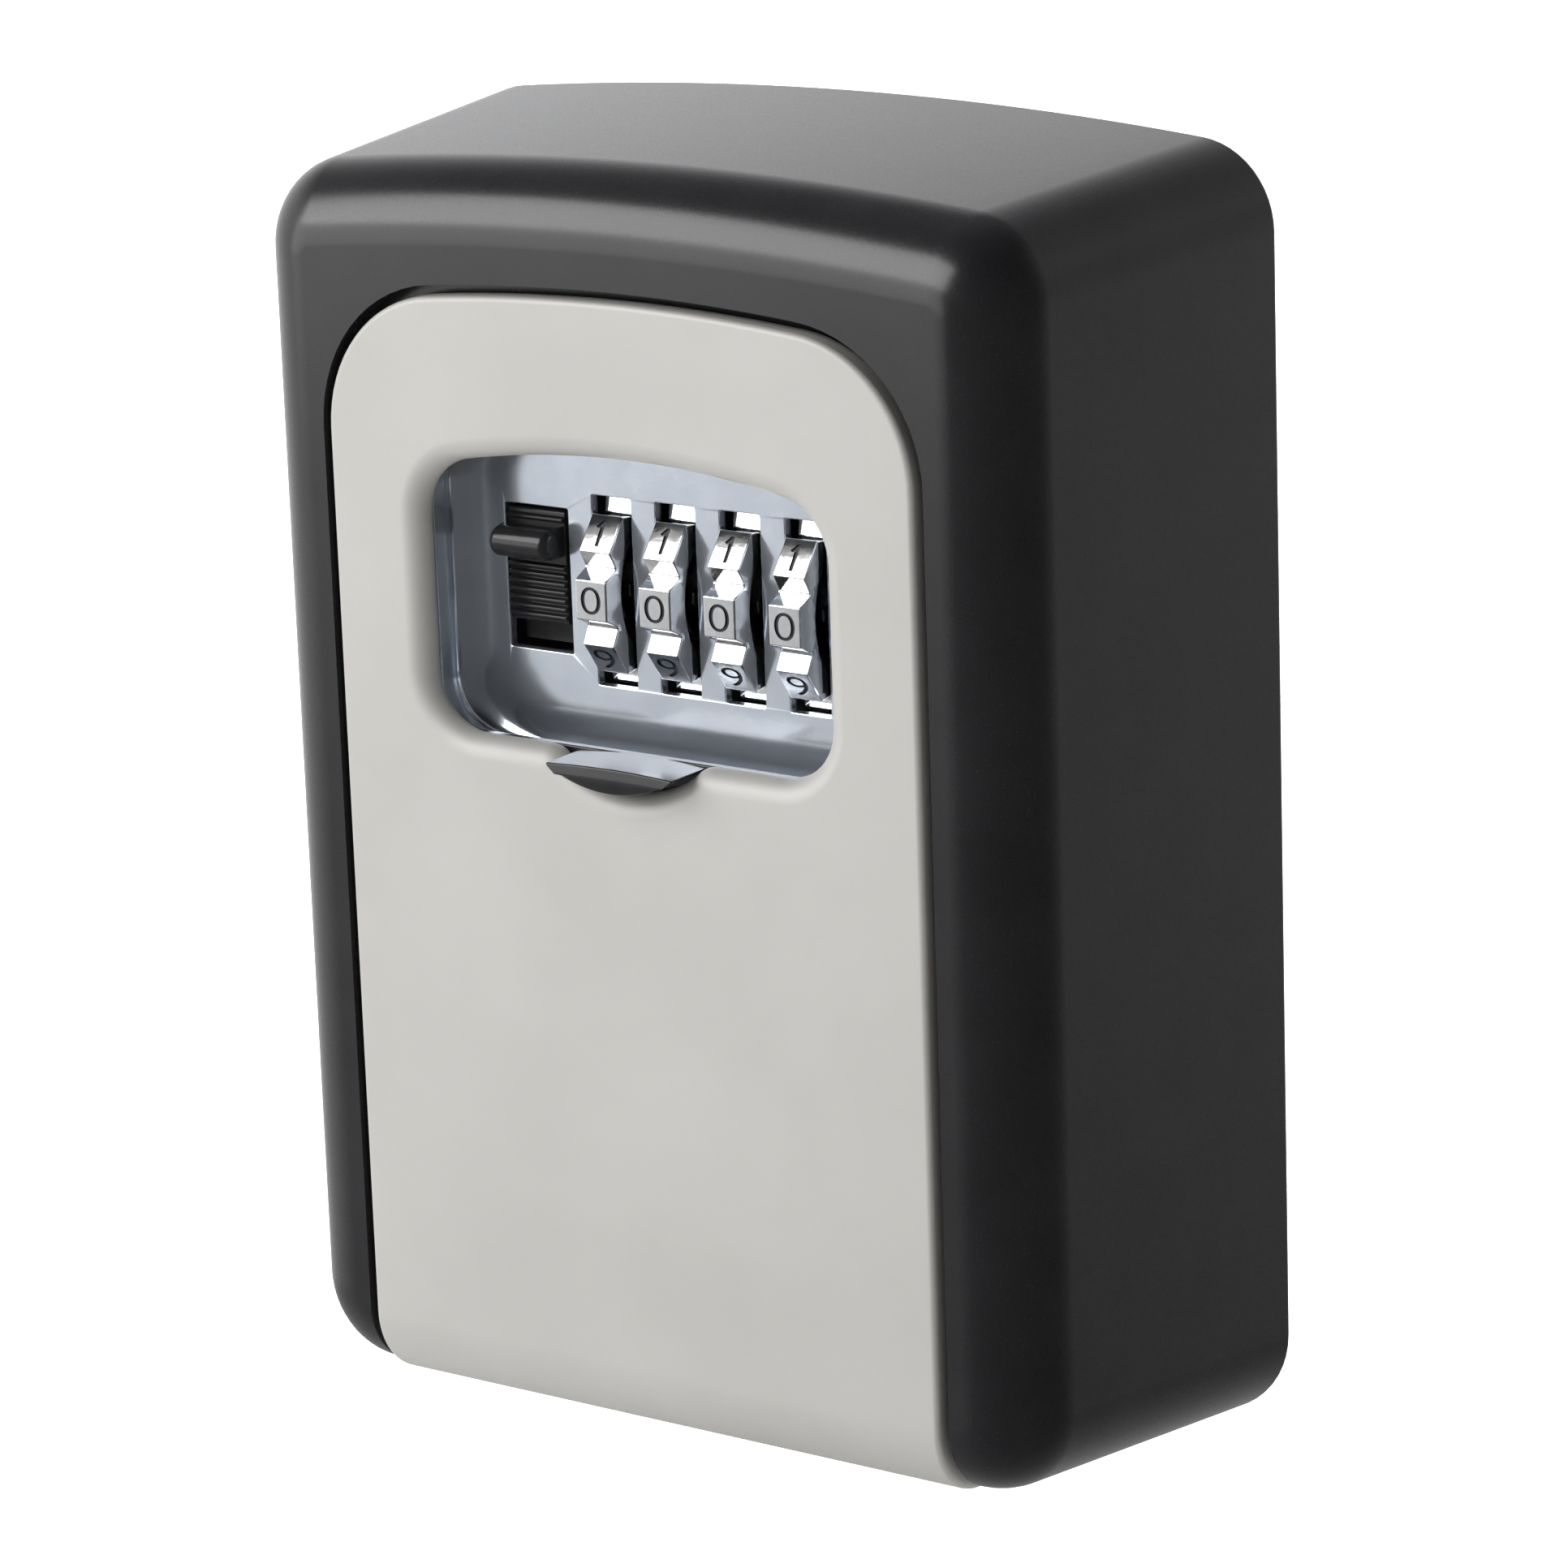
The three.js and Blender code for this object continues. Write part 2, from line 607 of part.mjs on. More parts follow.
// ---------------------------------------------------------------- lock case and cover

function lockCase() {
  const innerHalf = CASE_HALF - CASE_WALL;
  const floor = CASE_BOTTOM + CASE_WALL;
  const ceiling = CASE_TOP - CASE_WALL;
  const box = cut(
    block(-CASE_HALF, CASE_HALF, CASE_FRONT, CASE_BACK, CASE_BOTTOM, CASE_TOP),
    block(-innerHalf, innerHalf, -FAR, 0, floor, ceiling),
  );
  const partition = block(
    PARTITION_LEFT, PARTITION_RIGHT, CASE_FRONT, CASE_BACK, floor - 0.5, PARTITION_TOP,
  );
  const bosses = [];
  const holes = [];
  for (const x of [-COVER_SCREW_X, COVER_SCREW_X]) {
    for (const z of COVER_SCREW_ROWS) {
      bosses.push(block(
        x - COVER_BOSS, x + COVER_BOSS, COVER_BOSS_FRONT, CASE_BACK, z - COVER_BOSS, z + COVER_BOSS,
      ));
      holes.push(rodY(SCREW_BORE, 0, COVER_HOLE_END, x, z, SMALL_ROUND));
    }
  }
  const lugs = [];
  for (const side of [-1, 1]) {
    const [x0, x1] = span(side, CASE_HALF - CASE_WALL / 2, LUG_X + LUG_HALF);
    for (const z of LUG_ROWS) {
      lugs.push(block(x0, x1, CASE_FRONT, LUG_BACK, z - LUG_HALF, z + LUG_HALF));
      holes.push(rodY(SCREW_BORE, LUG_BACK + 1, CASE_FRONT - 1, side * LUG_X, z, SMALL_ROUND));
    }
  }
  const shaftHole = rodX(SHAFT_RADIUS + CLEAR, PARTITION_LEFT - 1, FAR, DIAL_Y, DIAL_Z);
  const tongueSlot = block(
    -TONGUE_HALF - CLEAR, TONGUE_HALF + CLEAR, -FAR, LATCH_FRONT + LATCH_THICK + CLEAR, COMB_TOP, FAR,
  );
  return cut(join(box, partition, ...bosses, ...lugs), shaftHole, tongueSlot, ...holes);
}

function caseCover() {
  const front = CASE_BACK + CLEAR;
  const plate = block(-CASE_HALF, CASE_HALF, front, COVER_BACK, CASE_BOTTOM, CASE_TOP);
  const holes = [];
  for (const x of [-COVER_SCREW_X, COVER_SCREW_X]) {
    for (const z of COVER_SCREW_ROWS) {
      holes.push(rodY(SCREW_BORE, 0, -FAR, x, z, SMALL_ROUND));
    }
  }
  const slot = block(
    ARM_LEFT - CLEAR, ARM_RIGHT + RESET_TRAVEL + CLEAR, -FAR, 0,
    DIAL_Z - ARM_HALF - CLEAR, DIAL_Z + ARM_HALF + CLEAR,
  );
  return cut(plate, slot, ...holes);
}

// A pan-head screw whose axis runs along Y, with its head at the back and a cross slot in it.
function screw(x, z, headFront, tip) {
  const seat = headFront - tip;
  const profile = corners(
    [0, 0], [SCREW_RADIUS, SCREW_POINT], [SCREW_RADIUS, seat], [SCREW_HEAD, seat],
    [SCREW_HEAD, seat + HEAD_DOME * HEAD_HEIGHT], [HEAD_DOME * SCREW_HEAD, seat + HEAD_HEIGHT],
    [0, seat + HEAD_HEIGHT],
  );
  const geometry = new THREE.LatheGeometry(profile, SMALL_ROUND);
  geometry.translate(x, tip, z);
  const headBack = headFront + HEAD_HEIGHT;
  const slots = [[DRIVE_REACH, DRIVE_HALF], [DRIVE_HALF, DRIVE_REACH]].map(([a, b]) =>
    block(x - a, x + a, headBack - DRIVE_DEPTH, headBack + 1, z - b, z + b));
  return cut(solid(geometry), ...slots);
}

// ---------------------------------------------------------------- dials, hubs and shaft

function starOutline(inner, outer) {
  const points = [];
  const step = 360 / CLUTCH_LOBES;
  for (let i = 0; i < CLUTCH_LOBES; i += 1) {
    const middle = 180 + i * step;
    points.push(...arc(DIAL_Y, DIAL_Z, outer, middle - step / 6, middle + step / 6, 1));
    points.push(...arc(DIAL_Y, DIAL_Z, inner, middle + step / 3, middle + 2 * step / 3, 1));
  }
  return points;
}

// Ten numbered flats with a finger groove between each two.
function dialOutline() {
  const points = [];
  const step = 360 / DIAL_FACES;
  const rim = Math.hypot(DIAL_FLAT, DIAL_FLAT_HALF);
  const halfTurn = THREE.MathUtils.radToDeg(Math.atan2(DIAL_FLAT_HALF, DIAL_FLAT));
  for (let i = 0; i < DIAL_FACES; i += 1) {
    const middle = 180 + i * step;
    points.push(...arc(DIAL_Y, DIAL_Z, rim, middle - halfTurn, middle + halfTurn, 1));
    const groove = middle + step / 2;
    points.push(...arc(
      DIAL_Y, DIAL_Z, DIAL_GROOVE, groove - GROOVE_HALF_ANGLE, groove + GROOVE_HALF_ANGLE, 1,
    ));
  }
  return points;
}

function dial(x) {
  const left = x - DIAL_WIDTH / 2;
  const right = x + DIAL_WIDTH / 2;
  const star = starOutline(CLUTCH_INNER + POCKET_GAP, CLUTCH_OUTER + POCKET_GAP);
  const pocket = prismX(star, right - POCKET_DEPTH, right + 1);
  return cut(
    prismX(dialOutline(), left, right),
    rodX(DIAL_BORE, left - 1, right + 1, DIAL_Y, DIAL_Z),
    rodX(RECESS_RADIUS, right - RECESS_DEPTH, right + 1, DIAL_Y, DIAL_Z),
    pocket,
  );
}

// The code hub turns with its dial through the clutch star; its cam has one gate, facing up.
function codeHub(x) {
  const sleeve = rodX(HUB_RADIUS, x + HUB_START, x + HUB_END, DIAL_Y, DIAL_Z);
  const clutch = prismX(starOutline(CLUTCH_INNER, CLUTCH_OUTER), x + CLUTCH_START, x + CLUTCH_END);
  const cam = rodX(CAM_RADIUS, x + CAM_START, x + CAM_END, DIAL_Y, DIAL_Z);
  const gate = block(
    x + CAM_START - 0.1, x + CAM_END + 0.1,
    DIAL_Y - GATE_HALF, DIAL_Y + GATE_HALF, DIAL_Z + GATE_FLOOR, DIAL_Z + DIAL_SWEEP,
  );
  const bore = rodX(HUB_BORE, x + HUB_START - 1, x + HUB_END + 1, DIAL_Y, DIAL_Z);
  return cut(join(sleeve, clutch, cut(cam, gate)), bore);
}

function dialShaft() {
  return join(
    rodX(SHAFT_RADIUS, SHAFT_LEFT, SHAFT_RIGHT, DIAL_Y, DIAL_Z),
    rodX(COLLAR_RADIUS, COLLAR_LEFT, COLLAR_RIGHT, DIAL_Y, DIAL_Z),
  );
}

// Open ring that keeps the hubs on the shaft.
function shaftClip() {
  const mouth = SHAFT_RADIUS;
  return cut(
    rodX(CLIP_RADIUS, CLIP_LEFT, CLIP_RIGHT, DIAL_Y, DIAL_Z),
    rodX(SHAFT_RADIUS + CLEAR, CLIP_LEFT - 1, CLIP_RIGHT + 1, DIAL_Y, DIAL_Z),
    block(CLIP_LEFT - 1, CLIP_RIGHT + 1, DIAL_Y - mouth, DIAL_Y + mouth, DIAL_Z - 10, DIAL_Z),
  );
}

// Code-change lever: a ribbed pad behind the cover with an arm that reaches in to the shaft.
function resetLever() {
  const arm = block(ARM_LEFT, ARM_RIGHT, DIAL_Y, PAD_FRONT + ROOT, DIAL_Z - ARM_HALF, DIAL_Z + ARM_HALF);
  const eye = rodX(ARM_EYE, ARM_LEFT, ARM_RIGHT, DIAL_Y, DIAL_Z);
  const pad = block(PAD_LEFT, PAD_RIGHT, PAD_FRONT, PAD_BACK, DIAL_Z - PAD_HALF, DIAL_Z + PAD_HALF);
  const ribHalf = 0.8 * PAD_HALF;
  const ribs = Array.from({ length: PAD_RIBS }, (_, i) => {
    const middle = (PAD_LEFT + PAD_RIGHT) / 2 + (i - (PAD_RIBS - 1) / 2) * PAD_RIB_PITCH;
    return block(
      middle - PAD_RIB_WIDTH / 2, middle + PAD_RIB_WIDTH / 2,
      PAD_BACK - ROOT, PAD_BACK + PAD_RIB_HEIGHT, DIAL_Z - ribHalf, DIAL_Z + ribHalf,
    );
  });
  const hole = rodX(SHAFT_RADIUS + CLEAR, ARM_LEFT - 1, ARM_RIGHT + 1, DIAL_Y, DIAL_Z);
  return cut(join(arm, eye, pad, ...ribs), hole);
}

// ---------------------------------------------------------------- latch

function sliderButton() {
  const left = LEVER_SLOT.left + BUTTON_GAP;
  const right = LEVER_SLOT.right - BUTTON_GAP;
  const top = LEVER_SLOT.top - CLEAR;
  const bottom = top - BUTTON_HEIGHT;
  const base = block(left, right, BUTTON_FACE, CASE_FRONT, bottom, top);
  const nose = [
    ...corners([BUTTON_FACE + ROOT, KNOB_Z + KNOB_HALF + KNOB_FLARE]),
    ...arc(KNOB_FRONT + KNOB_HALF, KNOB_Z, KNOB_HALF, 90, 270, 8),
    ...corners([BUTTON_FACE + ROOT, KNOB_Z - KNOB_HALF - KNOB_FLARE]),
  ];
  const ribs = [];
  for (let i = 0; i < RIB_COUNT; i += 1) {
    const z = bottom + RIB_START + i * RIB_PITCH;
    const crest = z + (RIB_FOOT - RIB_CREST) / 2;
    const rib = corners(
      [BUTTON_FACE + ROOT, z + RIB_FOOT], [BUTTON_FACE, z + RIB_FOOT],
      [BUTTON_FACE - RIB_HEIGHT, crest + RIB_CREST], [BUTTON_FACE - RIB_HEIGHT, crest],
      [BUTTON_FACE, z], [BUTTON_FACE + ROOT, z],
    );
    ribs.push(prismX(rib, left + RIB_INSET, right - RIB_INSET));
  }
  return join(base, prismX(nose, left, right), ...ribs);
}

// One bent plate: link behind the button, comb over the dials, and the tongue behind the frame.
function latchPlate() {
  const back = LATCH_FRONT + LATCH_THICK;
  const link = block(LINK_LEFT, LINK_RIGHT, LATCH_FRONT, back, LINK_BOTTOM, COMB_TOP);
  const seat = block(
    LINK_LEFT + SEAT_INSET, LINK_RIGHT - SEAT_INSET,
    LATCH_FRONT, SEAT_BACK, LINK_BOTTOM, LINK_BOTTOM + LATCH_THICK,
  );
  const comb = block(LINK_LEFT, COMB_RIGHT, LATCH_FRONT, back, COMB_BOTTOM, COMB_TOP);
  const shelf = block(DIAL_FIRST_X, COMB_RIGHT, LATCH_FRONT, FINGER_BACK, COMB_TOP - LATCH_THICK, COMB_TOP);
  const fingers = dialCentres().map((x) => {
    const start = x + CAM_START + FINGER_INSET;
    return block(
      start, start + FINGER_WIDTH, FINGER_BACK - FINGER_DEPTH, FINGER_BACK, FINGER_BOTTOM, COMB_TOP,
    );
  });
  const tongueBack = TONGUE_FRONT + TONGUE_THICK;
  const tongue = prismX(corners(
    [back, COMB_TOP - ROOT], [back, JOG_TOP], [tongueBack, JOG_TOP], [tongueBack, TONGUE_TOP],
    [tongueBack - ROOT, TONGUE_TOP], [TONGUE_FRONT, TONGUE_TOP - TONGUE_LEAD], [TONGUE_FRONT, JOG_BOTTOM],
    [LATCH_FRONT, JOG_BOTTOM], [LATCH_FRONT, COMB_TOP - ROOT],
  ), -TONGUE_HALF, TONGUE_HALF);
  return join(link, seat, comb, shelf, ...fingers, tongue);
}

class Helix extends THREE.Curve {
  constructor(radius, bottom, top, turns) {
    super();
    Object.assign(this, { radius, bottom, top, turns });
  }

  getPoint(t, target = new THREE.Vector3()) {
    const angle = 2 * Math.PI * this.turns * t;
    const x = this.radius * Math.cos(angle);
    const y = this.radius * Math.sin(angle);
    return target.set(x, y, this.bottom + (this.top - this.bottom) * t);
  }
}

function latchSpring() {
  const floor = CASE_BOTTOM + CASE_WALL;
  const bottom = floor + SPRING_GAP + SPRING_WIRE;
  const top = LINK_BOTTOM - SPRING_GAP - SPRING_WIRE;
  const wire = shapeOf(arc(0, 0, SPRING_WIRE, 0, 300, 5));
  const geometry = new THREE.ExtrudeGeometry(wire, {
    steps: SPRING_TURNS * SPRING_STEPS,
    extrudePath: new Helix(SPRING_RADIUS, bottom, top, SPRING_TURNS),
  });
  geometry.translate(SPRING_X, SPRING_Y, 0);
  return solid(geometry);
}

// A flat strip bent along a line of (y, z) points.
function strip(points, thickness) {
  const sides = [[], []];
  points.forEach((point, i) => {
    const before = points[Math.max(i - 1, 0)];
    const after = points[Math.min(i + 1, points.length - 1)];
    const along = after.clone().sub(before).normalize();
    const across = new THREE.Vector2(-along.y, along.x).multiplyScalar(thickness / 2);
    sides[0].push(point.clone().add(across));
    sides[1].unshift(point.clone().sub(across));
  });
  const outline = [...sides[0], ...sides[1]];
  return THREE.ShapeUtils.area(outline) < 0 ? outline.reverse() : outline;
}

// Leaf spring under the dials, with one finger for each dial's grooves.
function detentSpring() {
  const flat = corners([LEAF_BACK, LEAF_Z], [LEAF_FRONT, LEAF_Z]);
  const bend = arc(LEAF_FRONT, LEAF_Z + LEAF_BEND, LEAF_BEND, 270, 90, 5);
  const rise = corners([DIAL_Y, LEAF_PEAK], [DIAL_Y + LEAF_TIP.back, LEAF_PEAK - LEAF_TIP.drop]);
  const fingers = dialCentres().map((x) =>
    prismX(strip([...flat, ...bend.slice(1), ...rise], LEAF_THICK), x - LEAF_HALF, x + LEAF_HALF));
  const last = dialCentres().at(-1);
  const base = block(
    DIAL_FIRST_X - LEAF_HALF, last + LEAF_HALF,
    LEAF_CLAMP, LEAF_BACK, LEAF_Z - LEAF_THICK / 2, LEAF_Z + LEAF_THICK / 2,
  );
  return join(base, ...fingers);
}

// ---------------------------------------------------------------- assembly

const FINISHES = {
  softBlack: { color: 0x3c3b3e, roughness: 0.55, metalness: 0.1 },
  silverPaint: { color: 0xc8c6c2, roughness: 0.42, metalness: 0.35 },
  satinTray: { color: 0xb9bec6, roughness: 0.16, metalness: 0.9 },
  chrome: { color: 0xf0f0f0, roughness: 0.08, metalness: 1 },
  zinc: { color: 0x9a9b9d, roughness: 0.5, metalness: 0.8 },
  blackPlastic: { color: 0x242326, roughness: 0.35, metalness: 0 },
  springSteel: { color: 0xaeb0b2, roughness: 0.3, metalness: 1 },
  nickel: { color: 0xa4a8a8, roughness: 0.3, metalness: 1 },
  blackSteel: { color: 0x2b2b2d, roughness: 0.45, metalness: 0.6 },
};

const group = new THREE.Group();
group.name = 'key_lock_box';

function addPart(name, manifold, finish) {
  const mesh = manifold.getMesh();
  const geometry = new THREE.BufferGeometry();
  geometry.setAttribute('position', new THREE.BufferAttribute(new Float32Array(mesh.vertProperties), 3));
  geometry.setIndex(new THREE.BufferAttribute(new Uint32Array(mesh.triVerts), 1));
  geometry.computeVertexNormals();
  const part = new THREE.Mesh(geometry, new THREE.MeshStandardMaterial(FINISHES[finish]));
  part.name = name;
  group.add(part);
}

addPart('housing_shell', housingShell(), 'softBlack');
addPart('hinge_pin_left', hingePin(-1), 'springSteel');
addPart('hinge_pin_right', hingePin(1), 'springSteel');

addPart('front_panel', frontPanel(), 'silverPaint');
addPart('dial_tray', dialTray(), 'satinTray');
addPart('shutter_retainer', shutterRetainer(), 'springSteel');
addPart('lock_case', lockCase(), 'zinc');
addPart('case_cover', caseCover(), 'zinc');
addPart('detent_spring', detentSpring(), 'springSteel');
addPart('weather_shutter', weatherShutter(), 'blackPlastic');

dialCentres().forEach((x, i) => {
  addPart(`dial_${i + 1}`, dial(x), 'chrome');
  addPart(`code_hub_${i + 1}`, codeHub(x), 'nickel');
});
addPart('dial_shaft', dialShaft(), 'springSteel');
addPart('shaft_clip', shaftClip(), 'springSteel');
addPart('reset_lever', resetLever(), 'blackPlastic');

addPart('slider_button', sliderButton(), 'blackPlastic');
addPart('latch_plate', latchPlate(), 'blackSteel');
addPart('latch_spring', latchSpring(), 'springSteel');

const SIDES = [[-1, 'left'], [1, 'right']];
const LEVELS = [[0, 'lower'], [1, 'upper']];
for (const [side, sideName] of SIDES) {
  for (const [row, rowName] of LEVELS) {
    const caseScrew = screw(side * LUG_X, LUG_ROWS[row], LUG_BACK + CLEAR, CASE_HOLE_END + CLEAR);
    addPart(`case_screw_${rowName}_${sideName}`, caseScrew, 'springSteel');
    const coverScrew = screw(
      side * COVER_SCREW_X, COVER_SCREW_ROWS[row], COVER_BACK + CLEAR, COVER_HOLE_END + CLEAR,
    );
    addPart(`cover_screw_${rowName}_${sideName}`, coverScrew, 'springSteel');
  }
  const retainerScrew = screw(
    side * LUG_X, RETAINER_SCREW_Z, RETAINER_BACK + CLEAR, RETAINER_HOLE_END + CLEAR,
  );
  addPart(`retainer_screw_${sideName}`, retainerScrew, 'springSteel');
}

export default group;
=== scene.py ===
"""Wall-mounted key lock box with four number dials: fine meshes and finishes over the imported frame.

Lengths are in millimetres until a mesh is made. The origin is the centre of the back face, +Z is up
and the front faces -Y.
"""

import json
import math

import bmesh
import bpy
from mathutils import Matrix, Vector
from mathutils.bvhtree import BVHTree


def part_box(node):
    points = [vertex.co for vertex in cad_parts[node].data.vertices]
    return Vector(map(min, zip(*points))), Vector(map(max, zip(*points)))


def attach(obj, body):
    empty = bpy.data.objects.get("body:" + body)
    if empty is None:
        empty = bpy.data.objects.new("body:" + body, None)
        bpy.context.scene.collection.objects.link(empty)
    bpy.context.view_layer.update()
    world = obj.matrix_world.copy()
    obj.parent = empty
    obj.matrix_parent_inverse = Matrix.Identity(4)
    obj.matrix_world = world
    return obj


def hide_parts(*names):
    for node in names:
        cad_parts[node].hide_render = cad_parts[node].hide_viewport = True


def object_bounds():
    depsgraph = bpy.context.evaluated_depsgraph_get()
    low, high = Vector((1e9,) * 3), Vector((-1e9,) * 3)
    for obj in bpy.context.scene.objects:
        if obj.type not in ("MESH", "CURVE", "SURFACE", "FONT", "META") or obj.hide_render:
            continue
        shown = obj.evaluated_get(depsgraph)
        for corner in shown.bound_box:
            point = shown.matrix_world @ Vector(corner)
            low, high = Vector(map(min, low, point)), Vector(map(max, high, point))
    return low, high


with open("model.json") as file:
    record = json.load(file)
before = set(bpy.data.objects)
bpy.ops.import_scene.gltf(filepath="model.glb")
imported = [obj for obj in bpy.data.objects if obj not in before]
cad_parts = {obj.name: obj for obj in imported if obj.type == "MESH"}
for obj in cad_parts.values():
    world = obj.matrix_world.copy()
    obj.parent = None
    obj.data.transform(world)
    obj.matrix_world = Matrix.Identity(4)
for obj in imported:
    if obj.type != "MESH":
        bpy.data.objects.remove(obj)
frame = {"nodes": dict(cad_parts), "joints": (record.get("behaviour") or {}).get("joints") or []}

CAD_LOW, CAD_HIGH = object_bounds()
MM = 0.001
NODES = frame["nodes"]


def box(node):
    """Lowest and highest corner of a CAD node in millimetres."""
    low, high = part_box(node)
    return low / MM, high / MM


def joint(name):
    """Origin of a joint in millimetres."""
    found = next(j for j in frame["joints"] if j["name"] == name)
    return Vector(found["pos_m"]) / MM


# ---------------------------------------------------------------- sizes taken from the frame

SHELL_LOW, SHELL_HIGH = box("housing_shell")
PANEL_LOW, PANEL_HIGH = box("front_panel")
TRAY_LOW, TRAY_HIGH = box("dial_tray")
BUTTON_LOW, BUTTON_HIGH = box("slider_button")
SHUTTER_LOW, SHUTTER_HIGH = box("weather_shutter")
HINGE = joint("door_hinge")
DIALS = [joint(f"dial_{i}_turn") for i in range(1, 5)]
DIAL_LOW, DIAL_HIGH = box("dial_1")

DEPTH = -SHELL_LOW.y
WIDTH = SHELL_HIGH.x - SHELL_LOW.x
FAR = 90.0                      # a place well outside the box, for cuts that run right out of it
OVERLAP = 0.5                   # how deep a boss, post or rail is sunk into the wall it grows from

# ---------------------------------------------------------------- housing sizes

SIDE_TAPER = 4.25
TOP_TAPER = 2.3
BOTTOM_TAPER = 2.7
FRONT_FILLET = 7.0
BOTTOM_CORNER = 8.7
TOP_CORNER = 8.0
TOP_CROWN = 2.6
WALL = 3.0
FRAME_THICK = 2.5
FRAME_BACK = -33.5
BACK_EDGE = 0.5
DOOR_GAP = 0.9
STOP_LIP = 0.8
SILL_FRONT = -26.8
BOSS_RADIUS = 5.0
BOSS_END = 37.6
BOSS_CLEAR = 0.02
PIN_HOLE = 1.8
PIN_HOLE_END = 38.6
SCREW_HOLE_X = 27.0
SCREW_HOLE_Z = 38.0
SCREW_HOLE = 2.5
COUNTERSINK = 4.5
INSIDE_ROUND = 1.5
DOORWAY_ROUND = 0.9
CASTING_ROUND = 0.35
ON_SURFACE = 0.02               # how near an edge lies to the outer surface to count as on it

# ---------------------------------------------------------------- door panel sizes

PANEL_FRONT = PANEL_LOW.y
PANEL_HALF = PANEL_HIGH.x
PANEL_TOP = PANEL_HIGH.z
PANEL_CORNER = 13.0
PANEL_CROWN = 2.5
PANEL_SKIN = 2.3
PANEL_EDGE = 0.55
LIP_RADIUS = HINGE.y - PANEL_FRONT
LIP_TURN = math.radians(110)
LIP_CORNER = 0.9
SWING_RADIUS = LIP_RADIUS + 0.4
WINDOW_HALF = 21.8
WINDOW_TOP = 32.8
WINDOW_BOTTOM = 6.2
WINDOW_CORNER = 5.5
WINDOW_CROWN = 2.5
WINDOW_ROUND = 2.05
NOTCH_X = -0.2
NOTCH_DROP = 3.3
NOTCH_RADIUS = 11.35
NOTCH_HUMP = 3.0
EAR_INNER = 27.0
EAR_OUTER = 31.0
EAR_RADIUS = 5.6
SCREW_X = 27.0
CASE_ROWS = (8.0, 30.0)
RETAINER_ROW = -10.0
RETAINER_SEAT = -34.7
SEAT_GAP = 0.3                  # between a post and the tray's ear on it
SCREW_BORE = 1.3
BOSS = 2.2
EAR_ROUND = 0.4
RAIL = 0.8                      # thickness of the shutter's side rails
RAIL_TOP = 30.0
RAIL_STOP = 1.0                 # thickness of the rail under the shutter
RAIL_ROUND = 0.12
RAIL_GAP = 0.3
SKIN_BACK_ROUND = 0.3
WINDOW_BACK_FLARE = 0.12

# ---------------------------------------------------------------- dial tray sizes

PLATE_FRONT = -30.3
PLATE_BACK = TRAY_HIGH.y
TRAY_HALF = 24.4
TRAY_CORNER = 7.0
TRAY_WALL = 1.2
TRAY_LEDGE = 0.7
TRAY_COVE = 0.35
TRAY_COVE_SIDE = 4.6
TRAY_COVE_DEPTH = 2.4
TRAY_RIM = 0.3
COVE_STEPS = 14
EAR_HALF = 2.6
EAR_RIM = 0.2
SLOT_CORNER = 0.2
SLOT_WIDTH = 4.3
SLOT_BOTTOM = 10.2
SLOT_TOP = 27.6
SLOT_ROUND = 0.12
LEVER_SLOT = (-18.2, -11.2, 12.7, 26.0)

# ---------------------------------------------------------------- dial sizes

DIAL_WIDTH = DIAL_HIGH.x - DIAL_LOW.x
DIAL_FACES = 10
DIAL_FLAT = 9.75
DIAL_FLAT_HALF = 1.8
DIAL_GROOVE = 8.6
GROOVE_HALF_ANGLE = 0.8
DIAL_BORE = 3.5
RECESS_RADIUS = 7.4
RECESS_DEPTH = 0.6
RECESS_DRAFT = 0.1
POCKET_DEPTH = 1.5
STAR_LOBES = 10
STAR_INNER = 4.6
STAR_OUTER = 5.3
STAR_ROUND = 0.25
FLAT_ROUND = 0.15
GROOVE_ROUND = 0.25
WHEEL_RIM = 0.16
RECESS_RIM = 0.15
RING_STEPS = 72
BORE_STEPS = 40
DIGIT_HEIGHT = 2.5
DIGIT_STRETCH = 1.42
DIGIT_THINNER = -0.008
DIGIT_DEPTH = 0.16
FLAG_REACH = 0.55               # the flag of the 1: how far it reaches, drops, and its thickness at the tip
FLAG_DROP = 0.60
FLAG_TIP = 0.18

# ---------------------------------------------------------------- slider and shutter sizes

KNOB_Z = 23.0
KNOB_HALF = 1.4
KNOB_END = 0.7
BUTTON_FACE = -30.3
KNOB_STEPS = 40
NECK_INSET = 0.25
NECK_ROOT = 0.3
NECK_ROUND = 0.3
NECK_SHY = 0.02                 # how much the neck keeps inside the bar's height
BUTTON_ROUND = 0.2
BUTTON_RIM = 0.06
RIB_COUNT = 7
RIB_HEIGHT = 0.45
RIB_START = 0.3                 # from the button's foot to the first rib
RIB_CLEAR = 0.7                 # from the last rib to the knob
RIB_ABOVE = 0.35                # from the single rib above the knob to the button's top
RIB_PROFILE = (                 # share of the pitch, height and corner radius at each corner of a rib
    (0.1, 0.0, 0.06), (0.3, RIB_HEIGHT, 0.16), (0.7, RIB_HEIGHT, 0.16), (0.9, 0.0, 0.06),
)
TAB_X = 0.3
TAB_HALF = 7.05
TAB_SAG = 2.05
TAB_EDGE = 0.25
TAB_END = 0.45
TAB_ROUND = 0.2
TAB_DOME = 0.12
DOME_POWER = 0.7
TAB_MIDDLE = 0.45               # where the dome's top lies, as a share of the sag
TAB_ROOT = 0.4                  # how deep the tab is sunk into the shutter
TAB_CREST = 0.1                 # half height of the dome's innermost ring
TAB_RINGS = 4
SHUTTER_FRONT = -35.8
SHUTTER_CORNER_LOW = 1.0
SHUTTER_CORNER_TOP = 4.0
SHUTTER_CROWN = 0.1
SHUTTER_RIM = 0.2

# ---------------------------------------------------------------- latch spring sizes

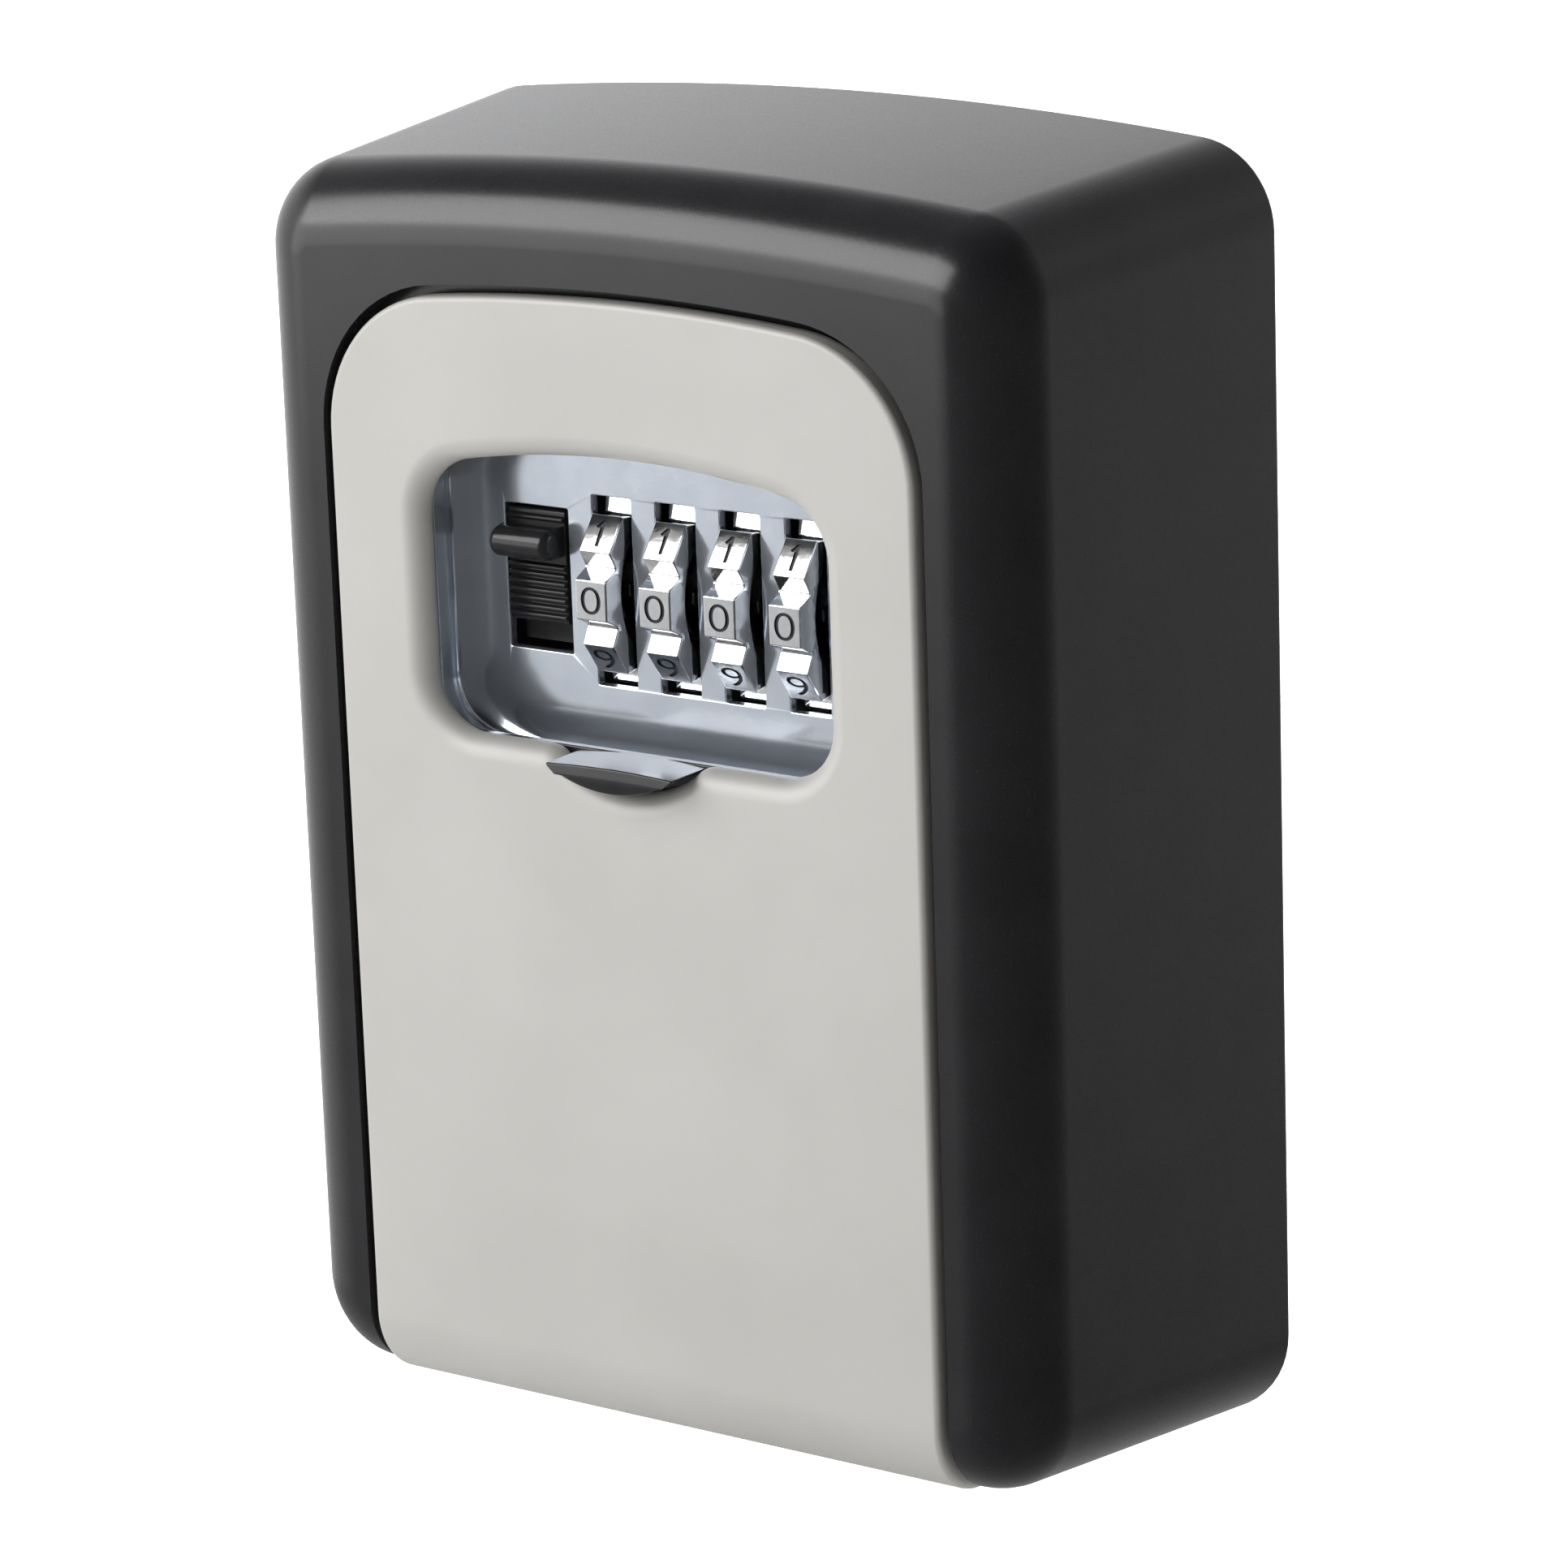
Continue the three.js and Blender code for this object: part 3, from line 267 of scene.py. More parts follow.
SPRING_RADIUS = 1.9
SPRING_WIRE = 0.3
SLIDER_TRAVEL = 2.2
SPRING_PITCH = SLIDER_TRAVEL / 1.5      # pressed, the two halves lie half a pitch apart
SPRING_HALF_GAP = 0.02
SPRING_STEPS = 28               # steps to a turn
WIRE_SIDES = 10

# ---------------------------------------------------------------- rounding of the inner pieces' edges

CASE_EDGE = 0.3
LEVER_EDGE = 0.15
SHEET_EDGE = 0.12
SCREW_EDGE = 0.08

# ---------------------------------------------------------------- camera, light and floor

CAMERA_YAW = math.radians(35.683)
CAMERA_PITCH = math.radians(15.069)
CAMERA_ROLL = math.radians(-1.976)
CAMERA_TARGET_Y = -20.0
CAMERA_DISTANCE = 562.5
CAMERA_ASIDE = 3.37
CAMERA_DOWN = -0.383
SENSOR = 36.0
LENS = 142.75
WORLD_COLOUR = (0.985, 0.99, 1.0, 1)
WORLD_BRIGHT = 1.15             # strength at the left and behind
WORLD_DARK = 0.08               # strength at the right and in front
WORLD_LEAN = 0.8                # how much of that falls off from back to front
WORLD_SPAN = 0.6
WORLD_TOP = 0.02                # share of the strength that is left overhead
WORLD_TOP_BAND = (0.35, 0.75)
WORLD_LOW = 0.4                 # share of the strength that is left low down
WORLD_LOW_BAND = (-0.40, -0.25)
FLOOR_SIZE = 8.0                # the floor and the lamps are in metres
FLOOR_DROP = 0.04
LAMPS = {                       # place, target, width, height, watts, mirrored in glossy surfaces
    "back_left": ((-0.40, 0.60, 1.0), (-0.15, 0.2, -0.06), 1.0, 1.0, 38.0, False),
    "front_left": ((-0.46, -0.76, 0.62), (0, -0.02, 0), 1.0, 0.6, 12.0, True),
    "low_left": ((-0.55, -0.74, 0.125), (-0.01, -0.036, 0.03), 0.9, 0.5, 3.2, True),
}


# ---------------------------------------------------------------- outlines

def arc(cx, cy, radius, start, end, steps):
    """Points of an arc from start to end degrees."""
    turns = [math.radians(start + (end - start) * i / steps) for i in range(steps + 1)]
    return [(cx + radius * math.cos(a), cy + radius * math.sin(a)) for a in turns]


def joined(*parts):
    """One closed outline from stretches whose ends meet."""
    points = []
    for part in parts:
        for p in part:
            if not points or math.dist(points[-1], p) > 1e-5:
                points.append(p)
    if math.dist(points[0], points[-1]) < 1e-5:
        points.pop()
    return points


def rounded(points, radius, steps=4):
    """The polygon with an arc at each corner. radius is one number, or one for each corner."""
    out = []
    for i, corner in enumerate(points):
        r = radius[i] if isinstance(radius, (list, tuple)) else radius
        p = Vector(corner)
        before = Vector(points[i - 1]) - p
        after = Vector(points[(i + 1) % len(points)]) - p
        angle = before.angle(after)
        if r <= 0 or angle > math.pi - 0.01:
            out.append(tuple(p))
            continue
        reach = min(r / math.tan(angle / 2), 0.48 * before.length, 0.48 * after.length)
        a, b = before.normalized(), after.normalized()
        centre = p + (a + b).normalized() * (reach / math.cos(angle / 2))
        first, last = (p + a * reach - centre).normalized(), (p + b * reach - centre).normalized()
        fillet = reach * math.tan(angle / 2)
        out.extend(tuple(centre + first.slerp(last, k / steps) * fillet) for k in range(steps + 1))
    return out


def grown(points, amount):
    """The outline with every point moved outwards along its corner's normal; it runs anticlockwise."""
    out = []
    for i, p in enumerate(points):
        a = (Vector(p) - Vector(points[i - 1])).normalized()
        b = (Vector(points[(i + 1) % len(points)]) - Vector(p)).normalized()
        normal = Vector((a.y + b.y, -a.x - b.x)).normalized()
        mitre = max(0.4, normal.dot(Vector((a.y, -a.x))))
        out.append(tuple(Vector(p) + normal * (amount / mitre)))
    return out


def arch_top(half, top, corner, crown, grow=0.0, steps=10):
    """Arched top edge with rounded corners, from the right side over to the left side."""
    radius = (half * half + crown * crown) / (2 * crown)
    centre = top - radius
    x = half - corner
    z = centre + math.sqrt((radius - corner) ** 2 - x * x)
    turn = math.degrees(math.atan2(z - centre, x))
    return joined(
        arc(x, z, corner + grow, 0, turn, steps),
        arc(0, centre, radius + grow, turn, 180 - turn, 2 * steps),
        arc(-x, z, corner + grow, 180 - turn, 180, steps),
    )


def arched_box(half, bottom, top, corner_bottom, corner_top, crown, grow=0.0, steps=10):
    """Arched top, straight sides and a straight bottom with rounded corners, anticlockwise."""
    x = half - corner_bottom
    z = bottom + corner_bottom
    return joined(
        arc(-x, z, corner_bottom + grow, 180, 270, steps),
        arc(x, z, corner_bottom + grow, 270, 360, steps),
        arch_top(half, top, corner_top, crown, grow, steps),
    )


def window_outline(grow=0.0):
    """The window: an arched box with a scoop in the middle of its lower edge."""
    scoop_z = WINDOW_BOTTOM - NOTCH_DROP + NOTCH_RADIUS
    hump_z = WINDOW_BOTTOM - NOTCH_HUMP
    rise = scoop_z - hump_z
    hump_x = math.sqrt((NOTCH_RADIUS + NOTCH_HUMP) ** 2 - rise ** 2)
    lean = math.degrees(math.atan2(rise, hump_x))
    side = WINDOW_HALF - WINDOW_CORNER
    low = WINDOW_BOTTOM + WINDOW_CORNER
    hump = NOTCH_HUMP - grow
    return joined(
        arc(-side, low, WINDOW_CORNER + grow, 180, 270, 12),
        arc(NOTCH_X - hump_x, hump_z, hump, 90, lean, 8),
        arc(NOTCH_X, scoop_z, NOTCH_RADIUS + grow, 180 + lean, 360 - lean, 16),
        arc(NOTCH_X + hump_x, hump_z, hump, 180 - lean, 90, 8),
        arc(side, low, WINDOW_CORNER + grow, 270, 360, 12),
        arch_top(WINDOW_HALF, WINDOW_TOP, WINDOW_CORNER, WINDOW_CROWN, grow, 12),
    )


def round_over(radius, steps=6):
    """(inset, depth) pairs of a quarter round, from the side wall to the face."""
    turns = [math.pi / 2 * i / steps for i in range(steps + 1)]
    return [(radius * (1 - math.cos(a)), radius * (1 - math.sin(a))) for a in turns]


# ---------------------------------------------------------------- mesh building

class Body:
    """A closed mesh made from rings of points that are bridged and capped."""

    def __init__(self):
        self.bm = bmesh.new()

    def ring(self, points):
        return [self.bm.verts.new(p) for p in points]

    def bridge(self, a, b):
        for i in range(len(a)):
            j = (i + 1) % len(a)
            self.bm.faces.new((a[i], a[j], b[j], b[i]))

    def rows(self, rings):
        """Bridges rings one after another and returns the first and the last."""
        made = [self.ring(r) for r in rings]
        for a, b in zip(made, made[1:]):
            self.bridge(a, b)
        return made[0], made[-1]

    def cap(self, loop):
        self.bm.faces.new(loop)

    def capped(self, rings):
        """Bridges rings one after another and closes both ends."""
        for loop in self.rows(rings):
            self.cap(loop)
        return self

    def fill(self, *loops):
        """Fills the flat region between an outer loop and the loops inside it."""
        edges = []
        for loop in loops:
            for i, vert in enumerate(loop):
                ends = (vert, loop[(i + 1) % len(loop)])
                edges.append(self.bm.edges.get(ends) or self.bm.edges.new(ends))
        bmesh.ops.triangle_fill(self.bm, use_beauty=True, use_dissolve=False, edges=edges)

    def make(self, name, sharp=32):
        """The finished object in metres, smooth except at edges sharper than sharp degrees."""
        bmesh.ops.remove_doubles(self.bm, verts=self.bm.verts, dist=1e-4)
        bmesh.ops.recalc_face_normals(self.bm, faces=self.bm.faces)
        if self.bm.calc_volume(signed=True) < 0:
            bmesh.ops.reverse_faces(self.bm, faces=self.bm.faces)
        bmesh.ops.scale(self.bm, vec=(MM, MM, MM), verts=self.bm.verts)
        mesh = bpy.data.meshes.new(name)
        self.bm.to_mesh(mesh)
        self.bm.free()
        obj = bpy.data.objects.new(name, mesh)
        bpy.context.scene.collection.objects.link(obj)
        return smooth(obj, sharp)


def smooth(obj, sharp=32):
    obj.data.polygons.foreach_set("use_smooth", [True] * len(obj.data.polygons))
    obj.data.set_sharp_from_angle(angle=math.radians(sharp))
    return obj


def even_shading(obj):
    """Keeps the large flat faces flat where they meet small rounded ones."""
    weighted = obj.modifiers.new("even", "WEIGHTED_NORMAL")
    weighted.keep_sharp = True
    weighted.weight = 80
    return obj


def along_y(points, y):
    return [(x, y, z) for x, z in points]


def along_x(points, x):
    return [(x, y, z) for y, z in points]


def prism_y(name, outline, back, front, round_back=0.0, round_front=0.0):
    """A front-view outline pushed out along Y, with its two rims rounded."""
    rings = []
    for inset, depth in reversed(round_over(round_back, 3) if round_back else [(0.0, 0.0)]):
        rings.append(along_y(grown(outline, -inset), back - depth))
    for inset, depth in (round_over(round_front, 3) if round_front else [(0.0, 0.0)]):
        rings.append(along_y(grown(outline, -inset), front + depth))
    return Body().capped(rings).make(name)


def prism_x(name, outline, left, right, rim=0.0):
    """A side-view outline (y, z) pushed out along X, with both rims rounded."""
    profile = round_over(rim, 3) if rim else [(0.0, 0.0)]
    rings = [along_x(grown(outline, -inset), left + depth) for inset, depth in reversed(profile)]
    rings += [along_x(grown(outline, -inset), right - depth) for inset, depth in profile]
    return Body().capped(rings).make(name)


def turned(name, profile, centre, axis, steps=48, sharp=32, solid=False):
    """A profile of (radius, place along the axis) turned round an axis through centre.

    A solid is capped at the first and the last place; otherwise the profile closes on itself.
    """
    body = Body()
    rings = []
    for radius, place in profile:
        ring = []
        for i in range(steps):
            a = 2 * math.pi * i / steps
            u, v = radius * math.cos(a), radius * math.sin(a)
            ring.append((place, centre[0] + u, centre[1] + v) if axis == "x"
                        else (centre[0] + u, place, centre[1] + v))
        rings.append(ring)
    if solid:
        body.capped(rings)
    else:
        body.rows(rings + rings[:1])
    return body.make(name, sharp)


def block(name, low, high, rim=0.0):
    """A rectangular block, its upright edges and rims rounded by rim."""
    outline = [(low[0], low[2]), (high[0], low[2]), (high[0], high[2]), (low[0], high[2])]
    if rim:
        outline = rounded(outline, rim, 3)
    return prism_y(name, outline, high[1], low[1], rim, rim)


def boolean(obj, operation, *tools):
    """Cuts, joins or intersects obj with the tools, which are used up."""
    for tool in tools:
        step = obj.modifiers.new("step", "BOOLEAN")
        step.object = tool
        step.operation = operation
        step.solver = "MANIFOLD"
        step.material_mode = "TRANSFER"
        graph = bpy.context.evaluated_depsgraph_get()
        mesh = bpy.data.meshes.new_from_object(obj.evaluated_get(graph))
        obj.modifiers.clear()
        old = obj.data
        obj.data = mesh
        bpy.data.meshes.remove(old)
        bpy.data.objects.remove(tool)
    return obj


def round_edges(obj, width, segments, chosen, sharp=35):
    """Rounds the sharp edges that chosen(edge) picks; edge ends are in millimetres."""
    bm = bmesh.new()
    bm.from_mesh(obj.data)
    limit = math.radians(sharp)
    picked = []
    for edge in bm.edges:
        if len(edge.link_faces) == 2 and edge.calc_face_angle(0) > limit:
            ends = [v.co / MM for v in edge.verts]
            if chosen(*ends):
                picked.append(edge)
    bmesh.ops.bevel(
        bm, geom=picked, offset=width * MM, offset_type="OFFSET", segments=segments,
        profile=0.5, affect="EDGES", clamp_overlap=True, miter_outer="ARC",
    )
    bm.to_mesh(obj.data)
    bm.free()
    return obj


# ---------------------------------------------------------------- housing

def drafted(point, half, bottom):
    """Moves a point inwards with its distance from the wall, as the casting's draught does."""
    x, y, z = point
    share = -y / DEPTH
    low = bottom + BOTTOM_TAPER * share
    high = -bottom - TOP_TAPER * share
    return (x * (half - SIDE_TAPER * share) / half, y, low + (z - bottom) / (-2 * bottom) * (high - low))


def housing_outside(name):
    half, bottom = WIDTH / 2, SHELL_LOW.z
    levels = [(-inset, -depth) for inset, depth in reversed(round_over(BACK_EDGE, 3))]
    levels += [(-inset, -DEPTH + depth) for inset, depth in round_over(FRONT_FILLET, 14)]
    rings = []
    for grow, y in levels:
        outline = arched_box(half, bottom, -bottom, BOTTOM_CORNER, TOP_CORNER, TOP_CROWN, grow, 12)
        rings.append([drafted((x, y, z), half, bottom) for x, z in outline])
    return Body().capped(rings).make(name)


def housing_inside():
    half, bottom = WIDTH / 2 - WALL, SHELL_LOW.z + WALL
    corner_low, corner_top = BOTTOM_CORNER - WALL, TOP_CORNER - WALL
    levels = [(-inset, -WALL - depth) for inset, depth in reversed(round_over(INSIDE_ROUND, 4))]
    levels.append((0.0, FRAME_BACK))
    rings = []
    for grow, y in levels:
        outline = arched_box(half, bottom, -bottom, corner_low, corner_top, TOP_CROWN, grow, 8)
        rings.append([drafted((x, y, z), half, bottom) for x, z in outline])
    return Body().capped(rings).make("inside")


def doorway(half, top, corner):
    """Outline of an opening that runs out through the bottom."""
    return joined([(-half, -FAR), (half, -FAR)], arch_top(half, top, corner, PANEL_CROWN, 0.0, 14))


def hinge_passage(half):
    """Room for the door's rounded lip to turn, cut through the bottom of the housing."""
    reach = math.degrees(math.acos((SILL_FRONT - HINGE.y) / SWING_RADIUS))
    side = joined(
        [(-FAR, -FAR), (SILL_FRONT, -FAR)],
        arc(HINGE.y, HINGE.z, SWING_RADIUS, -reach, 90, 24),
        [(-FAR, HINGE.z + SWING_RADIUS)],
    )
    return prism_x("passage", side, -half, half)


def wall_hole(x, z):
    profile = [(SCREW_HOLE, 1.0), (SCREW_HOLE, -1.0), (COUNTERSINK, -WALL), (COUNTERSINK, -WALL - 1.0)]
    return turned("hole", profile, (x, z), "y", solid=True)


def housing():
    shell = housing_outside("housing_casting")
    outside = bmesh.new()
    outside.from_mesh(shell.data)
    surface = BVHTree.FromBMesh(outside)
    outside.free()
    half = PANEL_HALF + DOOR_GAP
    inset = DOOR_GAP + STOP_LIP
    opening = doorway(half, PANEL_TOP + DOOR_GAP, PANEL_CORNER + DOOR_GAP)
    stop = doorway(half - inset, PANEL_TOP - STOP_LIP, PANEL_CORNER - STOP_LIP)
    boolean(
        shell, "DIFFERENCE",
        housing_inside(),
        prism_y("opening", opening, FRAME_THICK - DEPTH, -FAR),
        prism_y("stop", stop, FRAME_BACK + 1, -FAR),
        hinge_passage(half),
    )
    for side in (-1, 1):
        ends = sorted((side * (half + BOSS_CLEAR), side * BOSS_END))
        rod = [(BOSS_RADIUS, end) for end in ends]
        boolean(shell, "UNION", turned("boss", rod, (HINGE.y, HINGE.z), "x", solid=True))
        ends = sorted((side * (half - 1), side * PIN_HOLE_END))
        rod = [(PIN_HOLE, end) for end in ends]
        boolean(shell, "DIFFERENCE", turned("pin_hole", rod, (HINGE.y, HINGE.z), "x", 32, solid=True))
    for x in (-SCREW_HOLE_X, SCREW_HOLE_X):
        for z in (-SCREW_HOLE_Z, SCREW_HOLE_Z):
            boolean(shell, "DIFFERENCE", wall_hole(x, z))

    def on_outside(a, b):
        def near(p):
            return surface.find_nearest(p * MM)[3] < ON_SURFACE * MM
        return near(a) and near(b) and max(a.y, b.y) < SILL_FRONT

    round_edges(shell, DOORWAY_ROUND, 4, on_outside)
    round_edges(shell, CASTING_ROUND, 2, lambda a, b: True, 50)
    smooth(shell, 40)
    return even_shading(shell)


# ---------------------------------------------------------------- door panel

def bent(x, t, depth):
    """A point of the panel, which is flat above the hinge's height and wraps round it below."""
    if t >= HINGE.z:
        return (x, PANEL_FRONT + depth, t)
    turn = (HINGE.z - t) / LIP_RADIUS
    radius = LIP_RADIUS - depth
    return (x, HINGE.y - radius * math.cos(turn), HINGE.z - radius * math.sin(turn))


def panel_skin():
    end = HINGE.z - LIP_RADIUS * LIP_TURN
    steps = 22
    first = end + LIP_CORNER
    levels = [first + (HINGE.z - first) * (i + 1) / steps for i in range(steps)]
    corner_steps = 6

    def outline(grow):
        half = PANEL_HALF + grow
        x = PANEL_HALF - LIP_CORNER
        return (
            arc(-x, first, LIP_CORNER + grow, 180, 270, corner_steps)
            + arc(x, first, LIP_CORNER + grow, 270, 360, corner_steps)
            + [(half, t) for t in levels]
            + arch_top(PANEL_HALF, PANEL_TOP, PANEL_CORNER, PANEL_CROWN, grow, 16)
            + [(-half, t) for t in reversed(levels)]
        )

    def place(points, depth):
        return [bent(x, t, depth) for x, t in points]

    body = Body()
    rings = [
        place(outline(-inset), PANEL_SKIN - depth)
        for inset, depth in reversed(round_over(SKIN_BACK_ROUND, 3))
    ]
    rings += [place(outline(-inset), depth) for inset, depth in round_over(PANEL_EDGE, 5)]
    back, front = body.rows(rings)
    window_rows = [
        place(window_outline(inset), depth)
        for inset, depth in reversed(round_over(WINDOW_ROUND, 8))
    ]
    window_rows.append(place(window_outline(WINDOW_BACK_FLARE), PANEL_SKIN))
    window_front, window_back = body.rows(window_rows)
    corners = 2 * (corner_steps + 1)
    for loop, hole in ((back, window_back), (front, window_front)):
        right = [loop[corners - 1]] + loop[corners:corners + steps]
        left = [loop[0]] + loop[:-steps - 1:-1]
        for i in range(steps):
            body.bm.faces.new((left[i], right[i], right[i + 1], left[i + 1]))
        body.cap(loop[:corners])
        body.fill(loop[corners + steps - 1:len(loop) - steps + 1], hole)
    return body.make("door_panel", 40)


def door_panel():
    skin = panel_skin()
    root = PANEL_FRONT + PANEL_SKIN - OVERLAP
    for side in (-1, 1):
        x0, x1 = sorted((side * EAR_INNER, side * EAR_OUTER))
        ear = rounded([(PIN_HOLE, x0), (EAR_RADIUS, x0), (EAR_RADIUS, x1), (PIN_HOLE, x1)], EAR_ROUND, 3)
        boolean(skin, "UNION", turned("ear", ear, (HINGE.y, HINGE.z), "x", 64))
        rows = [(z, PLATE_FRONT - SEAT_GAP) for z in CASE_ROWS] + [(RETAINER_ROW, RETAINER_SEAT)]
        for z, end in rows:
            post = [(SCREW_BORE, root), (BOSS, root), (BOSS, end), (SCREW_BORE, end)]
            boolean(skin, "UNION", turned("post", post, (side * SCREW_X, z), "y", 32))
    inner = SHUTTER_HIGH.x + RAIL_GAP
    foot = SHUTTER_LOW.z - RAIL_GAP - RAIL_STOP
    low = foot + 0.6 * RAIL_STOP
    rails = [
        ((-inner - RAIL, low), (-inner, RAIL_TOP)),
        ((inner, low), (inner + RAIL, RAIL_TOP)),
        ((-inner - RAIL, foot), (inner + RAIL, foot + RAIL_STOP)),
    ]
    for low, high in rails:
        rail = block("rail", (low[0], root, low[1]), (high[0], RETAINER_SEAT, high[1]), RAIL_ROUND)
        boolean(skin, "UNION", rail)
    smooth(skin, 40)
    return even_shading(skin)


# ---------------------------------------------------------------- dial tray

def tray():
    def dish(aside, upright):
        corner = TRAY_CORNER - min(aside, upright)
        return arched_box(
            TRAY_HALF - aside, TRAY_LOW.z + upright, TRAY_HIGH.z - upright,
            corner, corner, WINDOW_CROWN, 0.0, 12,
        )

    body = Body()
    rings = [
        along_y(dish(inset, inset), PLATE_BACK - depth)
        for inset, depth in reversed(round_over(TRAY_RIM, 3))
    ]
    rings += [along_y(dish(inset, inset), TRAY_LOW.y + depth) for inset, depth in round_over(TRAY_RIM, 4)]
    for inset, depth in reversed(round_over(TRAY_RIM, 4)):
        rings.append(along_y(dish(TRAY_WALL - inset, TRAY_LEDGE - inset), TRAY_LOW.y + depth))
    for i in range(1, COVE_STEPS + 1):
        a = math.pi / 2 * i / COVE_STEPS
        inset, rise = 1 - math.cos(a), 1 - math.sin(a)
        rings.append(along_y(
            dish(TRAY_WALL + TRAY_COVE_SIDE * inset, TRAY_LEDGE + TRAY_COVE * inset),
            PLATE_FRONT - TRAY_COVE_DEPTH * rise,
        ))
    back, front = body.rows(rings)
    slots = [(d.x - SLOT_WIDTH / 2, d.x + SLOT_WIDTH / 2, SLOT_BOTTOM, SLOT_TOP) for d in DIALS]
    slots.append(LEVER_SLOT)
    front_holes, back_holes = [], []
    for x0, x1, z0, z1 in slots:
        outline = rounded([(x0, z0), (x1, z0), (x1, z1), (x0, z1)], SLOT_CORNER, 3)
        rows = [
            along_y(grown(outline, inset), PLATE_FRONT + depth)
            for inset, depth in reversed(round_over(SLOT_ROUND, 3))
        ]
        rows.append(along_y(outline, PLATE_BACK))
        first, last = body.rows(rows)
        front_holes.append(first)
        back_holes.append(last)
    body.fill(front, *front_holes)
    body.fill(back, *back_holes)
    plate = body.make("dial_plate", 40)
    for side in (-1, 1):
        x0, x1 = sorted((side * (TRAY_HALF - 1), side * TRAY_HIGH.x))
        for z in CASE_ROWS:
            low, high = (x0, PLATE_FRONT, z - EAR_HALF), (x1, PLATE_BACK - 0.05, z + EAR_HALF)
            ear = block("ear", low, high, EAR_RIM)
            boolean(plate, "UNION", ear)
            bore = [(SCREW_BORE, PLATE_BACK + 2), (SCREW_BORE, PLATE_FRONT - 2)]
            boolean(plate, "DIFFERENCE", turned("bore", bore, (side * SCREW_X, z), "y", 24, solid=True))
    smooth(plate, 40)
    return even_shading(plate)


# ---------------------------------------------------------------- dials

def wheel_outline(axis):
    """Ten flats with a rounded finger groove between each two, as (y, z)."""
    points, radii = [], []
    step = 360 / DIAL_FACES
    rim = math.hypot(DIAL_FLAT, DIAL_FLAT_HALF)
    half = math.degrees(math.atan2(DIAL_FLAT_HALF, DIAL_FLAT))
    for i in range(DIAL_FACES):
        middle = 180 + i * step
        groove = middle + step / 2
        points += arc(axis.y, axis.z, rim, middle - half, middle + half, 1)
        points += arc(axis.y, axis.z, DIAL_GROOVE, groove - GROOVE_HALF_ANGLE, groove + GROOVE_HALF_ANGLE, 1)
        radii += [FLAT_ROUND, FLAT_ROUND, GROOVE_ROUND, GROOVE_ROUND]
    return rounded(points, radii, 4)


def ring_of(radius, axis, steps):
    turns = [2 * math.pi * i / steps for i in range(steps)]
    return [(axis.y + radius * math.cos(a), axis.z + radius * math.sin(a)) for a in turns]


def star(axis):
    points = []
    step = 360 / STAR_LOBES
    for i in range(STAR_LOBES):
        middle = 180 + i * step
        points += arc(axis.y, axis.z, STAR_OUTER, middle - step / 6, middle + step / 6, 1)
        points += arc(axis.y, axis.z, STAR_INNER, middle + step / 3, middle + 2 * step / 3, 1)
    return rounded(points, STAR_ROUND, 3)


def numeral_mesh(text):
    """The font's numeral as a mesh, with the lowest and highest corner of its face."""
    curve = bpy.data.curves.new("numeral", "FONT")
    curve.body = text
    curve.offset = DIGIT_THINNER
    curve.extrude = 1.0
    curve.resolution_u = 5
    source = bpy.data.objects.new("numeral", curve)
    bpy.context.scene.collection.objects.link(source)
    graph = bpy.context.evaluated_depsgraph_get()
    mesh = bpy.data.meshes.new_from_object(source.evaluated_get(graph))
    bpy.data.objects.remove(source)
    low, high = (
        Vector([pick(v.co[i] for v in mesh.vertices) for i in range(2)])
        for pick in (min, max)
    )
    return mesh, low, high


def mended(mesh):
    """Joins the numeral's doubled points and turns its faces outwards."""
    bm = bmesh.new()
    bm.from_mesh(mesh)
    bmesh.ops.remove_doubles(bm, verts=bm.verts, dist=1e-7)
    bmesh.ops.recalc_face_normals(bm, faces=bm.faces)
    if bm.calc_volume(signed=True) < 0:
        bmesh.ops.reverse_faces(bm, faces=bm.faces)
    bm.to_mesh(mesh)
    bm.free()
    return mesh


def flag_of_one(stem, middle, out, up):
    """The slanted flag at the head of the 1, whose stem is twice stem wide."""
    beak = DIGIT_HEIGHT / 2
    shape = [
        (-stem, beak),
        (-stem - FLAG_REACH, beak - FLAG_DROP),
        (-stem - FLAG_REACH / 2, beak - FLAG_DROP - FLAG_TIP),
        (stem, beak - 2 * FLAG_TIP),
        (stem, beak),
    ]
    rings = [
        [middle + out * depth + Vector((x, 0, 0)) + up * y for x, y in shape]
        for depth in (-DIGIT_DEPTH, DIGIT_DEPTH)
    ]
    return Body().capped(rings).make("flag")


def digit(text, axis, facet):
    """A numeral's solid, standing through the surface of one flat."""
    mesh, low, high = numeral_mesh(text)
    tall = DIGIT_HEIGHT / (high.y - low.y)
    turn = 2 * math.pi / DIAL_FACES * facet
    out = Vector((0, -math.cos(turn), math.sin(turn)))
    up = Vector((0, math.sin(turn), math.cos(turn)))
    place = Matrix.Identity(4)
    place.col[0][:3] = (tall * DIGIT_STRETCH, 0, 0)
    place.col[1][:3] = up * tall
    place.col[2][:3] = out * DIGIT_DEPTH
    flat = Vector(axis) + out * DIAL_FLAT
    place.translation = flat - place.to_3x3() @ ((low + high) / 2).to_3d()
    mesh.transform(Matrix.Scale(MM, 4) @ place)
    tool = bpy.data.objects.new("numeral", mended(mesh))
    bpy.context.scene.collection.objects.link(tool)
    if text == "1":
        boolean(tool, "UNION", flag_of_one(tall * (high.x - low.x) / 2, flat, out, up))
    return tool


